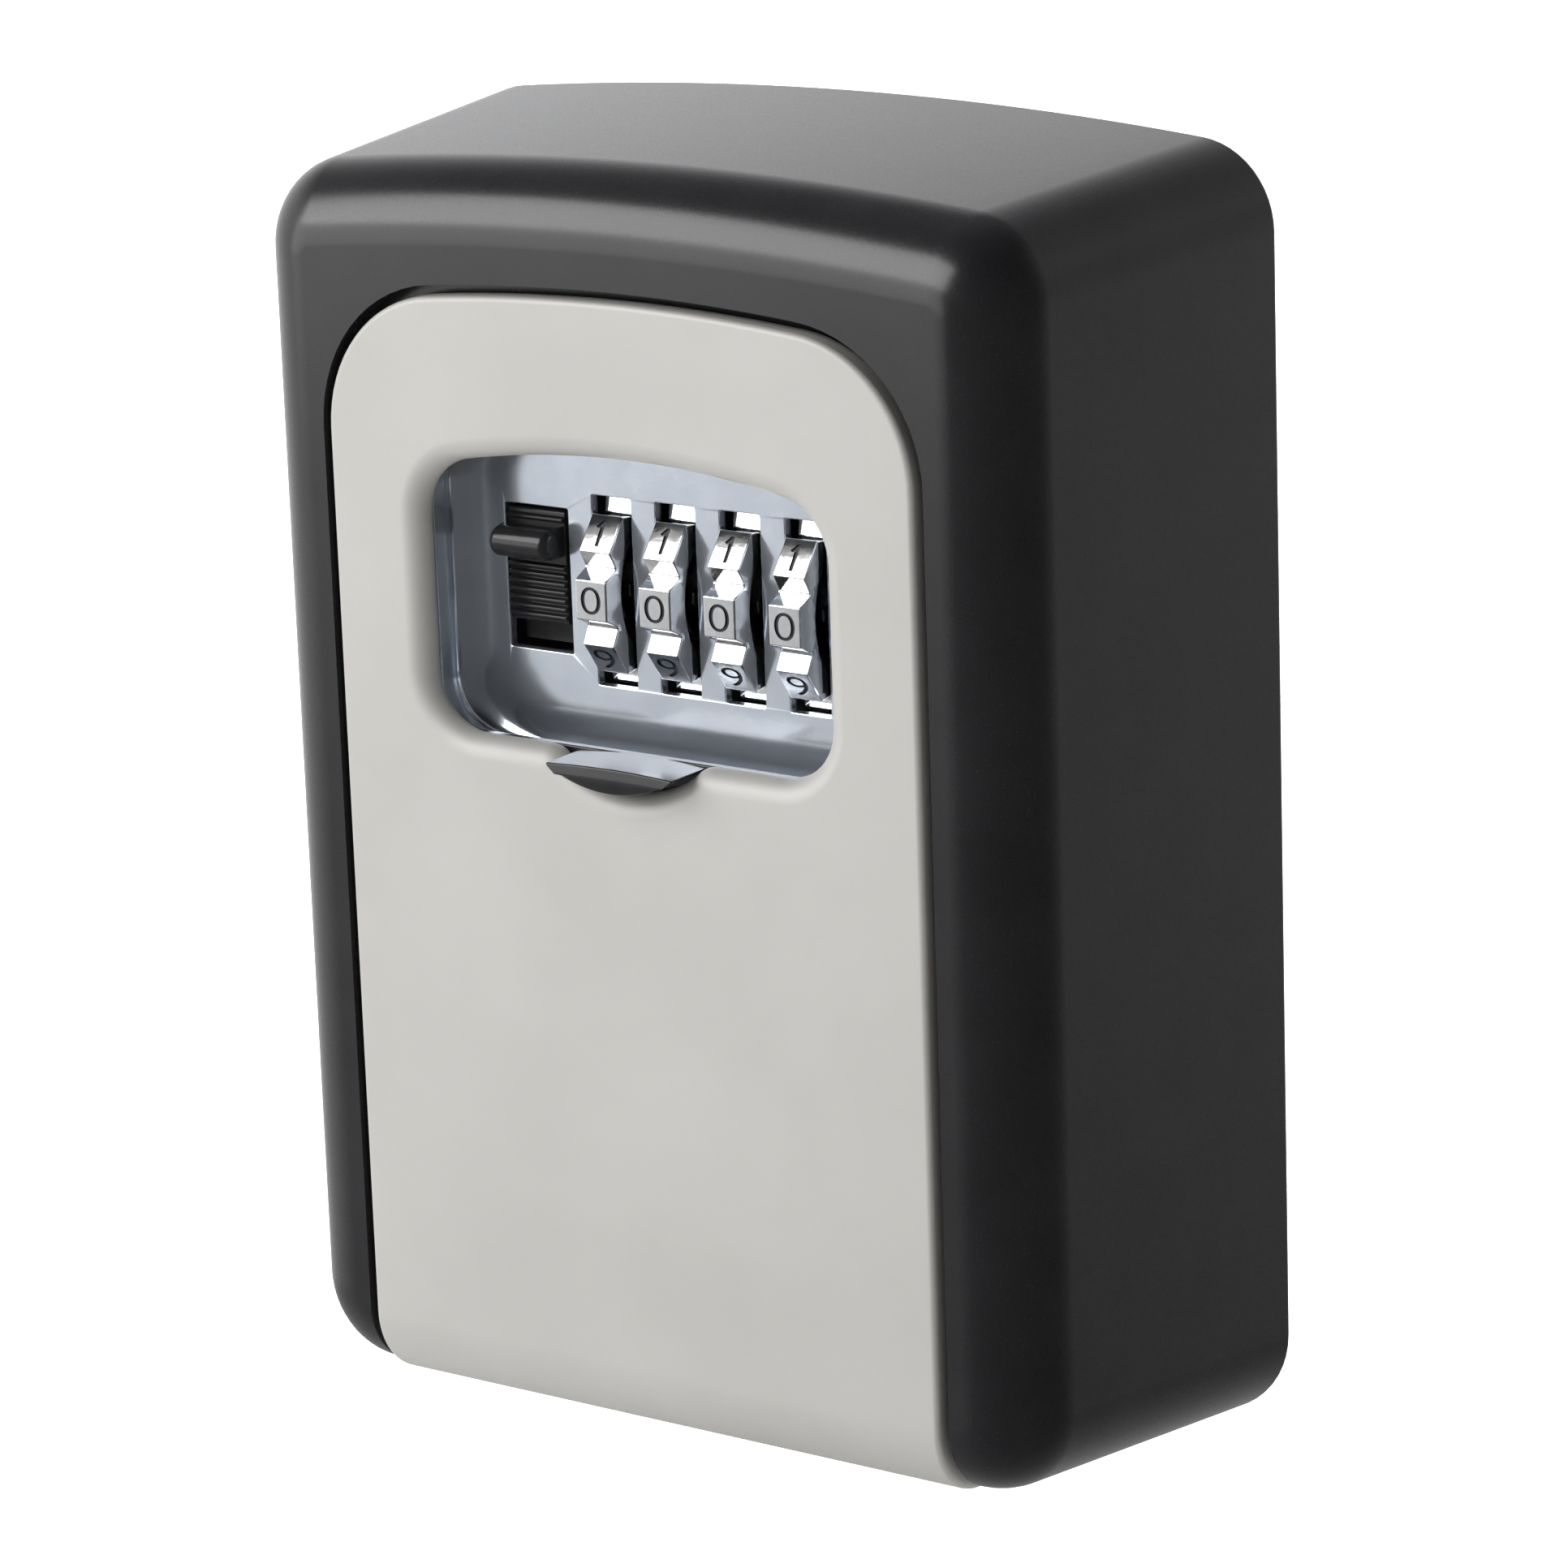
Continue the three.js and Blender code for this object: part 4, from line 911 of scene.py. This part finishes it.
def number_wheel(index, axis, chrome, ink):
    left, right = axis.x - DIAL_WIDTH / 2, axis.x + DIAL_WIDTH / 2
    outline = wheel_outline(axis)
    body = Body()
    rim = round_over(WHEEL_RIM, 3)
    rows = [along_x(grown(outline, -inset), left + depth) for inset, depth in reversed(rim)]
    rows += [along_x(grown(outline, -inset), right - depth) for inset, depth in rim]
    outer_left, outer_right = body.rows(rows)
    recess = [
        along_x(ring_of(RECESS_RADIUS + inset, axis, RING_STEPS), right - depth)
        for inset, depth in reversed(round_over(RECESS_RIM, 3))
    ]
    recess.append(along_x(ring_of(RECESS_RADIUS - RECESS_DRAFT, axis, RING_STEPS), right - RECESS_DEPTH))
    recess_top, recess_floor = body.rows(recess)
    pocket = [along_x(star(axis), right - d) for d in (RECESS_DEPTH, POCKET_DEPTH)]
    pocket_top, pocket_floor = body.rows(pocket)
    bore = [along_x(ring_of(DIAL_BORE, axis, BORE_STEPS), x) for x in (right - POCKET_DEPTH, left)]
    bore_right, bore_left = body.rows(bore)
    body.fill(outer_left, bore_left)
    body.fill(outer_right, recess_top)
    body.fill(recess_floor, pocket_top)
    body.fill(pocket_floor, bore_right)
    wheel = body.make(f"number_wheel_{index}")
    wheel.data.materials.append(chrome)
    for facet in range(DIAL_FACES):
        tool = digit(str(facet), axis, facet)
        tool.data.materials.clear()
        tool.data.materials.append(ink)
        boolean(wheel, "DIFFERENCE", tool)
    smooth(wheel, 28)
    return even_shading(wheel)


# ---------------------------------------------------------------- slider button and shutter

def slider_thumb_piece():
    left, right = BUTTON_LOW.x, BUTTON_HIGH.x
    bottom, top = BUTTON_LOW.z, BUTTON_HIGH.z
    back, tip = BUTTON_HIGH.y, BUTTON_LOW.y
    centre = tip + KNOB_HALF
    rib_top = KNOB_Z - KNOB_HALF - RIB_CLEAR
    pitch = (rib_top - bottom - RIB_START) / RIB_COUNT
    starts = [bottom + RIB_START + i * pitch for i in range(RIB_COUNT)]
    starts.append(top - RIB_ABOVE - pitch)
    side = [(back, bottom), (BUTTON_FACE, bottom)]
    radii = [BUTTON_ROUND, BUTTON_ROUND]
    for z in starts:
        for share, height, radius in RIB_PROFILE:
            side.append((BUTTON_FACE - height, z + share * pitch))
            radii.append(radius)
    side += [(BUTTON_FACE, top), (back, top)]
    radii += [BUTTON_ROUND, BUTTON_ROUND]
    side = rounded(list(reversed(side)), list(reversed(radii)), 4)
    piece = prism_x("slider_thumb_piece", side, left, right, BUTTON_RIM)
    ends = [(KNOB_HALF - inset, left + depth) for inset, depth in reversed(round_over(KNOB_END, 6))]
    ends += [(KNOB_HALF - inset, right - depth) for inset, depth in round_over(KNOB_END, 6)]
    bar = turned("bar", ends, (centre, KNOB_Z), "x", KNOB_STEPS, 40, solid=True)
    x0, x1, root = left + NECK_INSET, right - NECK_INSET, BUTTON_FACE + NECK_ROOT
    outline = rounded([(x0, root), (x1, root), (x1, centre), (x0, centre)], NECK_ROUND, 3)
    reach = KNOB_HALF - NECK_SHY
    rings = [[(x, y, z) for x, y in outline] for z in (KNOB_Z - reach, KNOB_Z + reach)]
    boolean(piece, "UNION", Body().capped(rings).make("neck"), bar)
    smooth(piece, 35)
    return even_shading(piece)


def bow(half, rise, z, above, steps):
    """A shallow arc between two ends at height z, bulging up if above, otherwise down."""
    radius = (half ** 2 + rise ** 2) / (2 * rise)
    spread = math.degrees(math.asin(half / radius))
    middle, facing = (z + rise - radius, 90) if above else (z - rise + radius, 270)
    return arc(TAB_X, middle, radius, facing - spread, facing + spread, steps)


def thumb_tab(top):
    """The lens-shaped tab, its face slightly domed."""
    tips = top - TAB_EDGE
    outline = joined(bow(TAB_HALF, TAB_SAG, tips, False, 28), bow(TAB_HALF, TAB_EDGE, tips, True, 16))
    outline = rounded(outline, [TAB_END if abs(z - tips) < 1e-6 else 0.0 for _, z in outline], 5)
    middle = Vector((TAB_X, tips - TAB_MIDDLE * TAB_SAG))
    tall = (TAB_SAG + TAB_EDGE) / 2

    def shrunk(inset):
        share = Vector((1 - inset / TAB_HALF, 1 - inset / tall))
        return [tuple(middle + (Vector(p) - middle) * share) for p in outline]

    rings = [along_y(outline, SHUTTER_FRONT + TAB_ROOT)]
    for inset, depth in round_over(TAB_ROUND, 5):
        rings.append(along_y(shrunk(inset), SHUTTER_LOW.y + TAB_DOME + depth))
    for i in range(1, TAB_RINGS + 1):
        share = i / TAB_RINGS
        inset = TAB_ROUND + (tall - TAB_CREST - TAB_ROUND) * share
        rings.append(along_y(shrunk(inset), SHUTTER_LOW.y + TAB_DOME * (1 - share ** DOME_POWER)))
    return Body().capped(rings).make("tab", 40)


def shutter_slide():
    half, low, high = SHUTTER_HIGH.x, SHUTTER_LOW.z, SHUTTER_HIGH.z
    outline = arched_box(half, low, high, SHUTTER_CORNER_LOW, SHUTTER_CORNER_TOP, SHUTTER_CROWN, 0.0, 8)
    plate = prism_y("shutter_slide", outline, SHUTTER_HIGH.y, SHUTTER_FRONT, SHUTTER_RIM, SHUTTER_RIM)
    boolean(plate, "UNION", thumb_tab(high))
    smooth(plate, 35)
    return even_shading(plate)


# ---------------------------------------------------------------- latch spring

def coil(name, middle, bottom, top):
    """A stretch of the spring's helix from bottom to top; every stretch keeps the same phase."""
    steps = round((top - bottom) / SPRING_PITCH * SPRING_STEPS)
    rise = SPRING_PITCH / (2 * math.pi * SPRING_RADIUS)
    round_wire = [2 * math.pi * k / WIRE_SIDES for k in range(WIRE_SIDES)]
    rings = []
    for i in range(steps + 1):
        z = bottom + (top - bottom) * i / steps
        a = 2 * math.pi * (z - middle.z) / SPRING_PITCH
        outward = Vector((math.cos(a), math.sin(a), 0))
        along = Vector((-math.sin(a), math.cos(a), rise)).normalized()
        across = along.cross(outward)
        centre = Vector((middle.x, middle.y, z)) + outward * SPRING_RADIUS
        rings.append([
            centre + outward * SPRING_WIRE * math.cos(b) + across * SPRING_WIRE * math.sin(b)
            for b in round_wire
        ])
    return Body().capped(rings).make(name, 50)


def spring_halves():
    """The upper half moves with the slider and sinks between the coils of the lower half."""
    low, high = box("latch_spring")
    middle = (low + high) / 2
    upper = coil("latch_spring_upper", middle, middle.z + SPRING_HALF_GAP, high.z - SPRING_WIRE)
    lower = coil("latch_spring_lower", middle, low.z + SPRING_WIRE, middle.z - SPRING_HALF_GAP)
    return upper, lower


# ---------------------------------------------------------------- materials

def material(name):
    """A new material with its shader and object coordinates in millimetres."""
    made = bpy.data.materials.new(name)
    made.use_nodes = True
    tree = made.node_tree
    shader = tree.nodes["Principled BSDF"]
    coords = tree.nodes.new("ShaderNodeTexCoord")
    scale = tree.nodes.new("ShaderNodeMapping")
    scale.inputs["Scale"].default_value = (1 / MM,) * 3
    tree.links.new(coords.outputs["Object"], scale.inputs["Vector"])
    return made, tree, shader, scale.outputs["Vector"]


def noise(tree, vector, per_mm, detail=3.0, stretch=(1.0, 1.0, 1.0)):
    """Noise with per_mm features in each millimetre, stretched along an axis by a small factor there."""
    mapping = tree.nodes.new("ShaderNodeMapping")
    mapping.inputs["Scale"].default_value = stretch
    tree.links.new(vector, mapping.inputs["Vector"])
    texture = tree.nodes.new("ShaderNodeTexNoise")
    texture.inputs["Scale"].default_value = per_mm
    texture.inputs["Detail"].default_value = detail
    tree.links.new(mapping.outputs["Vector"], texture.inputs["Vector"])
    return texture.outputs["Fac"]


def spread_over(tree, value, low, high, start=0.3, end=0.7):
    """Maps a value between start and end onto the range from low to high."""
    node = tree.nodes.new("ShaderNodeMapRange")
    node.inputs["From Min"].default_value = start
    node.inputs["From Max"].default_value = end
    node.inputs["To Min"].default_value = low
    node.inputs["To Max"].default_value = high
    tree.links.new(value, node.inputs["Value"])
    return node.outputs["Result"]


def coloured(tree, shader, value, dark, light):
    """Mixes the base colour from two colours by a noise value."""
    ramp = tree.nodes.new("ShaderNodeValToRGB")
    ramp.color_ramp.elements[0].position = 0.3
    ramp.color_ramp.elements[1].position = 0.7
    ramp.color_ramp.elements[0].color = (*dark, 1)
    ramp.color_ramp.elements[1].color = (*light, 1)
    tree.links.new(value, ramp.inputs["Fac"])
    tree.links.new(ramp.outputs["Color"], shader.inputs["Base Color"])


def roughened(tree, shader, value, low, high):
    tree.links.new(spread_over(tree, value, low, high), shader.inputs["Roughness"])


def bumped(tree, shader, value, height_mm, strength=1.0):
    bump = tree.nodes.new("ShaderNodeBump")
    bump.inputs["Strength"].default_value = strength
    bump.inputs["Distance"].default_value = height_mm * MM
    tree.links.new(value, bump.inputs["Height"])
    tree.links.new(bump.outputs["Normal"], shader.inputs["Normal"])


def soft_black_paint():
    made, tree, shader, vector = material("soft black paint")
    speckle = noise(tree, vector, 5.0, 4.0)
    cloud = noise(tree, vector, 0.12, 2.0)
    coloured(tree, shader, cloud, (0.0105, 0.0100, 0.0110), (0.0130, 0.0125, 0.0137))
    roughened(tree, shader, speckle, 0.21, 0.28)
    shader.inputs["IOR"].default_value = 1.45
    bumped(tree, shader, speckle, 0.006, 0.4)
    return made


def silver_paint():
    made, tree, shader, vector = material("silver paint")
    brush = noise(tree, vector, 9.0, 4.0, (0.05, 1.0, 1.0))
    fleck = noise(tree, vector, 14.0, 2.0)
    cloud = noise(tree, vector, 0.06, 2.0)
    coloured(tree, shader, cloud, (0.338, 0.331, 0.314), (0.360, 0.353, 0.336))
    shader.inputs["Metallic"].default_value = 0.15
    roughened(tree, shader, fleck, 0.46, 0.58)
    bumped(tree, shader, brush, 0.006, 0.6)
    return made


def bright_tray():
    made, tree, shader, vector = material("bright tray plating")
    ripple = noise(tree, vector, 0.35, 2.0)
    grain = noise(tree, vector, 12.0, 3.0)
    coloured(tree, shader, ripple, (0.672, 0.720, 0.792), (0.720, 0.768, 0.840))
    shader.inputs["Metallic"].default_value = 0.9
    roughened(tree, shader, grain, 0.12, 0.18)
    bumped(tree, shader, ripple, 0.02, 0.4)
    return made


def chrome_plating():
    made, tree, shader, vector = material("chrome plating")
    ripple = noise(tree, vector, 1.2, 2.0)
    smudge = noise(tree, vector, 0.8, 4.0)
    coloured(tree, shader, smudge, (0.80, 0.81, 0.82), (0.88, 0.88, 0.89))
    shader.inputs["Metallic"].default_value = 1.0
    roughened(tree, shader, smudge, 0.05, 0.12)
    bumped(tree, shader, ripple, 0.02, 0.5)
    return made


def black_ink():
    made, tree, shader, vector = material("black numeral paint")
    grain = noise(tree, vector, 8.0, 3.0)
    coloured(tree, shader, grain, (0.006, 0.006, 0.007), (0.014, 0.014, 0.015))
    roughened(tree, shader, grain, 0.35, 0.55)
    bumped(tree, shader, grain, 0.01, 0.4)
    return made


def moulded_black():
    made, tree, shader, vector = material("moulded black plastic")
    grain = noise(tree, vector, 4.0, 4.0)
    cloud = noise(tree, vector, 0.3, 2.0)
    coloured(tree, shader, cloud, (0.012, 0.012, 0.013), (0.017, 0.017, 0.018))
    roughened(tree, shader, grain, 0.16, 0.22)
    shader.inputs["IOR"].default_value = 1.37
    bumped(tree, shader, grain, 0.004, 0.3)
    return made


def cast_zinc():
    made, tree, shader, vector = material("cast zinc")
    grain = noise(tree, vector, 3.0, 5.0)
    cloud = noise(tree, vector, 0.2, 3.0)
    coloured(tree, shader, cloud, (0.37, 0.37, 0.38), (0.41, 0.41, 0.42))
    shader.inputs["Metallic"].default_value = 0.85
    roughened(tree, shader, grain, 0.38, 0.55)
    bumped(tree, shader, grain, 0.03, 0.5)
    return made


def drawn_steel():
    made, tree, shader, vector = material("drawn steel")
    brush = noise(tree, vector, 8.0, 4.0, (0.06, 1.0, 1.0))
    cloud = noise(tree, vector, 0.5, 3.0)
    coloured(tree, shader, cloud, (0.54, 0.54, 0.55), (0.60, 0.60, 0.61))
    shader.inputs["Metallic"].default_value = 0.85
    roughened(tree, shader, brush, 0.34, 0.46)
    bumped(tree, shader, brush, 0.004, 0.4)
    return made


def plated_hub():
    made, tree, shader, vector = material("nickel plated hub")
    lathe = noise(tree, vector, 9.0, 3.0, (1.0, 0.08, 0.08))
    cloud = noise(tree, vector, 0.6, 3.0)
    coloured(tree, shader, cloud, (0.36, 0.38, 0.38), (0.46, 0.48, 0.48))
    shader.inputs["Metallic"].default_value = 1.0
    roughened(tree, shader, lathe, 0.22, 0.38)
    bumped(tree, shader, lathe, 0.01, 0.5)
    return made


# Painted shade: steel coloured near black, so that the latch plate seen through the slots' foot reads as the
# shade there.
def blackened_steel():
    made, tree, shader, vector = material("steel painted dark as slot shade")
    cloud = noise(tree, vector, 0.7, 4.0)
    grain = noise(tree, vector, 9.0, 3.0)
    coloured(tree, shader, cloud, (0.008, 0.008, 0.009), (0.014, 0.014, 0.015))
    shader.inputs["Metallic"].default_value = 0.6
    roughened(tree, shader, grain, 0.34, 0.50)
    bumped(tree, shader, grain, 0.01, 0.5)
    return made


def floor_paper():
    made, tree, shader, vector = material("pale floor")
    fibre = noise(tree, vector, 0.8, 4.0)
    coloured(tree, shader, fibre, (0.86, 0.86, 0.86), (0.88, 0.88, 0.88))
    shader.inputs["Roughness"].default_value = 0.9
    shader.inputs["Specular IOR Level"].default_value = 0.1
    return made


def dress(obj, *finishes):
    obj.data.materials.clear()
    for finish in finishes:
        obj.data.materials.append(finish)
    return obj


# ---------------------------------------------------------------- carried-over CAD nodes

def soften(node, width, segments=2):
    """Smooth shading and small rounded edges on a CAD node, whose own mesh stays as it is."""
    obj = NODES[node]
    rounding = obj.modifiers.new("edges", "BEVEL")
    rounding.width = width * MM
    rounding.segments = segments
    rounding.limit_method = "ANGLE"
    rounding.angle_limit = math.radians(40)
    rounding.harden_normals = False
    weighted = obj.modifiers.new("even", "WEIGHTED_NORMAL")
    weighted.keep_sharp = True
    return obj


# ---------------------------------------------------------------- assembly

soft_black = soft_black_paint()
silver = silver_paint()
tray_plating = bright_tray()
chrome = chrome_plating()
ink = black_ink()
black = moulded_black()
zinc = cast_zinc()
steel = drawn_steel()
nickel = plated_hub()
slot_shade_black = blackened_steel()


def place(obj, body, slot, node):
    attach(obj, body)
    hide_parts(node)


place(dress(housing(), soft_black), "housing", "housing_paint", "housing_shell")
place(dress(door_panel(), silver), "door", "panel_paint", "front_panel")
place(dress(tray(), tray_plating), "door", "tray_metal", "dial_tray")
place(dress(slider_thumb_piece(), black), "slider", "black_plastic", "slider_button")
place(dress(shutter_slide(), black), "shutter", "black_plastic", "weather_shutter")
for number, axis in enumerate(DIALS, 1):
    wheel = number_wheel(number, axis, chrome, ink)
    place(wheel, f"dial_wheel_{number}", "dial_chrome", f"dial_{number}")

for node in ("lock_case", "case_cover"):
    dress(soften(node, CASE_EDGE), zinc)
# The latch plate is coloured near black as painted shade for the slots it shows through.
dress(soften("latch_plate", SHEET_EDGE), slot_shade_black)
for node in ("shutter_retainer", "hinge_pin_left", "hinge_pin_right", "dial_shaft",
             "shaft_clip", "detent_spring"):
    dress(soften(node, SHEET_EDGE), steel)
spring_upper, spring_lower = spring_halves()
place(dress(spring_upper, steel), "slider", "steel", "latch_spring")
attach(dress(spring_lower, steel), "door")
dress(soften("reset_lever", LEVER_EDGE), black)
for number in range(1, 5):
    dress(soften(f"code_hub_{number}", SHEET_EDGE), nickel)
for name, obj in NODES.items():
    if "_screw_" in name:
        dress(soften(name, SCREW_EDGE), steel)


# ---------------------------------------------------------------- floor, light and camera

def plain_floor():
    """A floor far enough below the box for its door to swing down."""
    size = FLOOR_SIZE / 2
    mesh = bpy.data.meshes.new("floor")
    low = CAD_LOW.z - FLOOR_DROP
    corners = [(-size, -size, low), (size, -size, low), (size, size, low), (-size, size, low)]
    mesh.from_pydata(corners, [], [(0, 1, 2, 3)])
    floor = bpy.data.objects.new("floor", mesh)
    bpy.context.scene.collection.objects.link(floor)
    dress(floor, floor_paper())
    floor.visible_glossy = False


def aimed(obj, place_at, target):
    obj.location = place_at
    obj.rotation_mode = "QUATERNION"
    obj.rotation_quaternion = (Vector(target) - Vector(place_at)).to_track_quat("-Z", "Y")


def soft_light(name, place_at, target, width, height, power, mirrored):
    lamp = bpy.data.lights.new(name, "AREA")
    lamp.shape = "RECTANGLE"
    lamp.size = width
    lamp.size_y = height
    lamp.energy = power
    obj = bpy.data.objects.new(name, lamp)
    bpy.context.scene.collection.objects.link(obj)
    obj.visible_glossy = mirrored
    aimed(obj, place_at, target)


def camera():
    back = Vector((
        math.sin(CAMERA_YAW) * math.cos(CAMERA_PITCH),
        -math.cos(CAMERA_YAW) * math.cos(CAMERA_PITCH),
        math.sin(CAMERA_PITCH),
    ))
    level = Vector((math.cos(CAMERA_YAW), math.sin(CAMERA_YAW), 0))
    upright = back.cross(level)
    right = math.cos(CAMERA_ROLL) * level + math.sin(CAMERA_ROLL) * upright
    up = math.cos(CAMERA_ROLL) * upright - math.sin(CAMERA_ROLL) * level
    lens = bpy.data.cameras.new("camera")
    lens.sensor_width = SENSOR
    lens.lens = LENS
    obj = bpy.data.objects.new("camera", lens)
    bpy.context.scene.collection.objects.link(obj)
    target = Vector((0, CAMERA_TARGET_Y, 0))
    spot = target + back * CAMERA_DISTANCE + right * CAMERA_ASIDE + up * CAMERA_DOWN
    turn = Matrix((right, up, back)).transposed().to_4x4()
    turn.translation = spot * MM
    obj.matrix_world = turn
    bpy.context.scene.camera = obj


def multiplied(tree, one, other):
    product = tree.nodes.new("ShaderNodeMath")
    product.operation = "MULTIPLY"
    tree.links.new(one, product.inputs[0])
    tree.links.new(other, product.inputs[1])
    return product.outputs["Value"]


def studio():
    """Three soft lamps at the left, and a world that is brightest at the left and behind."""
    world = bpy.data.worlds.new("studio")
    world.use_nodes = True
    tree = world.node_tree
    coords = tree.nodes.new("ShaderNodeTexCoord")
    parts = tree.nodes.new("ShaderNodeSeparateXYZ")
    tree.links.new(coords.outputs["Generated"], parts.inputs["Vector"])
    lean = tree.nodes.new("ShaderNodeMath")
    lean.operation = "MULTIPLY_ADD"
    tree.links.new(parts.outputs["Y"], lean.inputs[0])
    lean.inputs[1].default_value = -WORLD_LEAN
    tree.links.new(parts.outputs["X"], lean.inputs[2])
    sideways = spread_over(tree, lean.outputs["Value"], WORLD_BRIGHT, WORLD_DARK, -WORLD_SPAN, WORLD_SPAN)
    upwards = spread_over(tree, parts.outputs["Z"], 1.0, WORLD_TOP, *WORLD_TOP_BAND)
    downwards = spread_over(tree, parts.outputs["Z"], WORLD_LOW, 1.0, *WORLD_LOW_BAND)
    background = tree.nodes["Background"]
    background.inputs["Color"].default_value = WORLD_COLOUR
    strength = multiplied(tree, multiplied(tree, sideways, upwards), downwards)
    tree.links.new(strength, background.inputs["Strength"])
    scene = bpy.context.scene
    scene.world = world
    scene.view_settings.view_transform = "Standard"
    for name, lamp in LAMPS.items():
        soft_light(name, *lamp)


plain_floor()
studio()
camera()
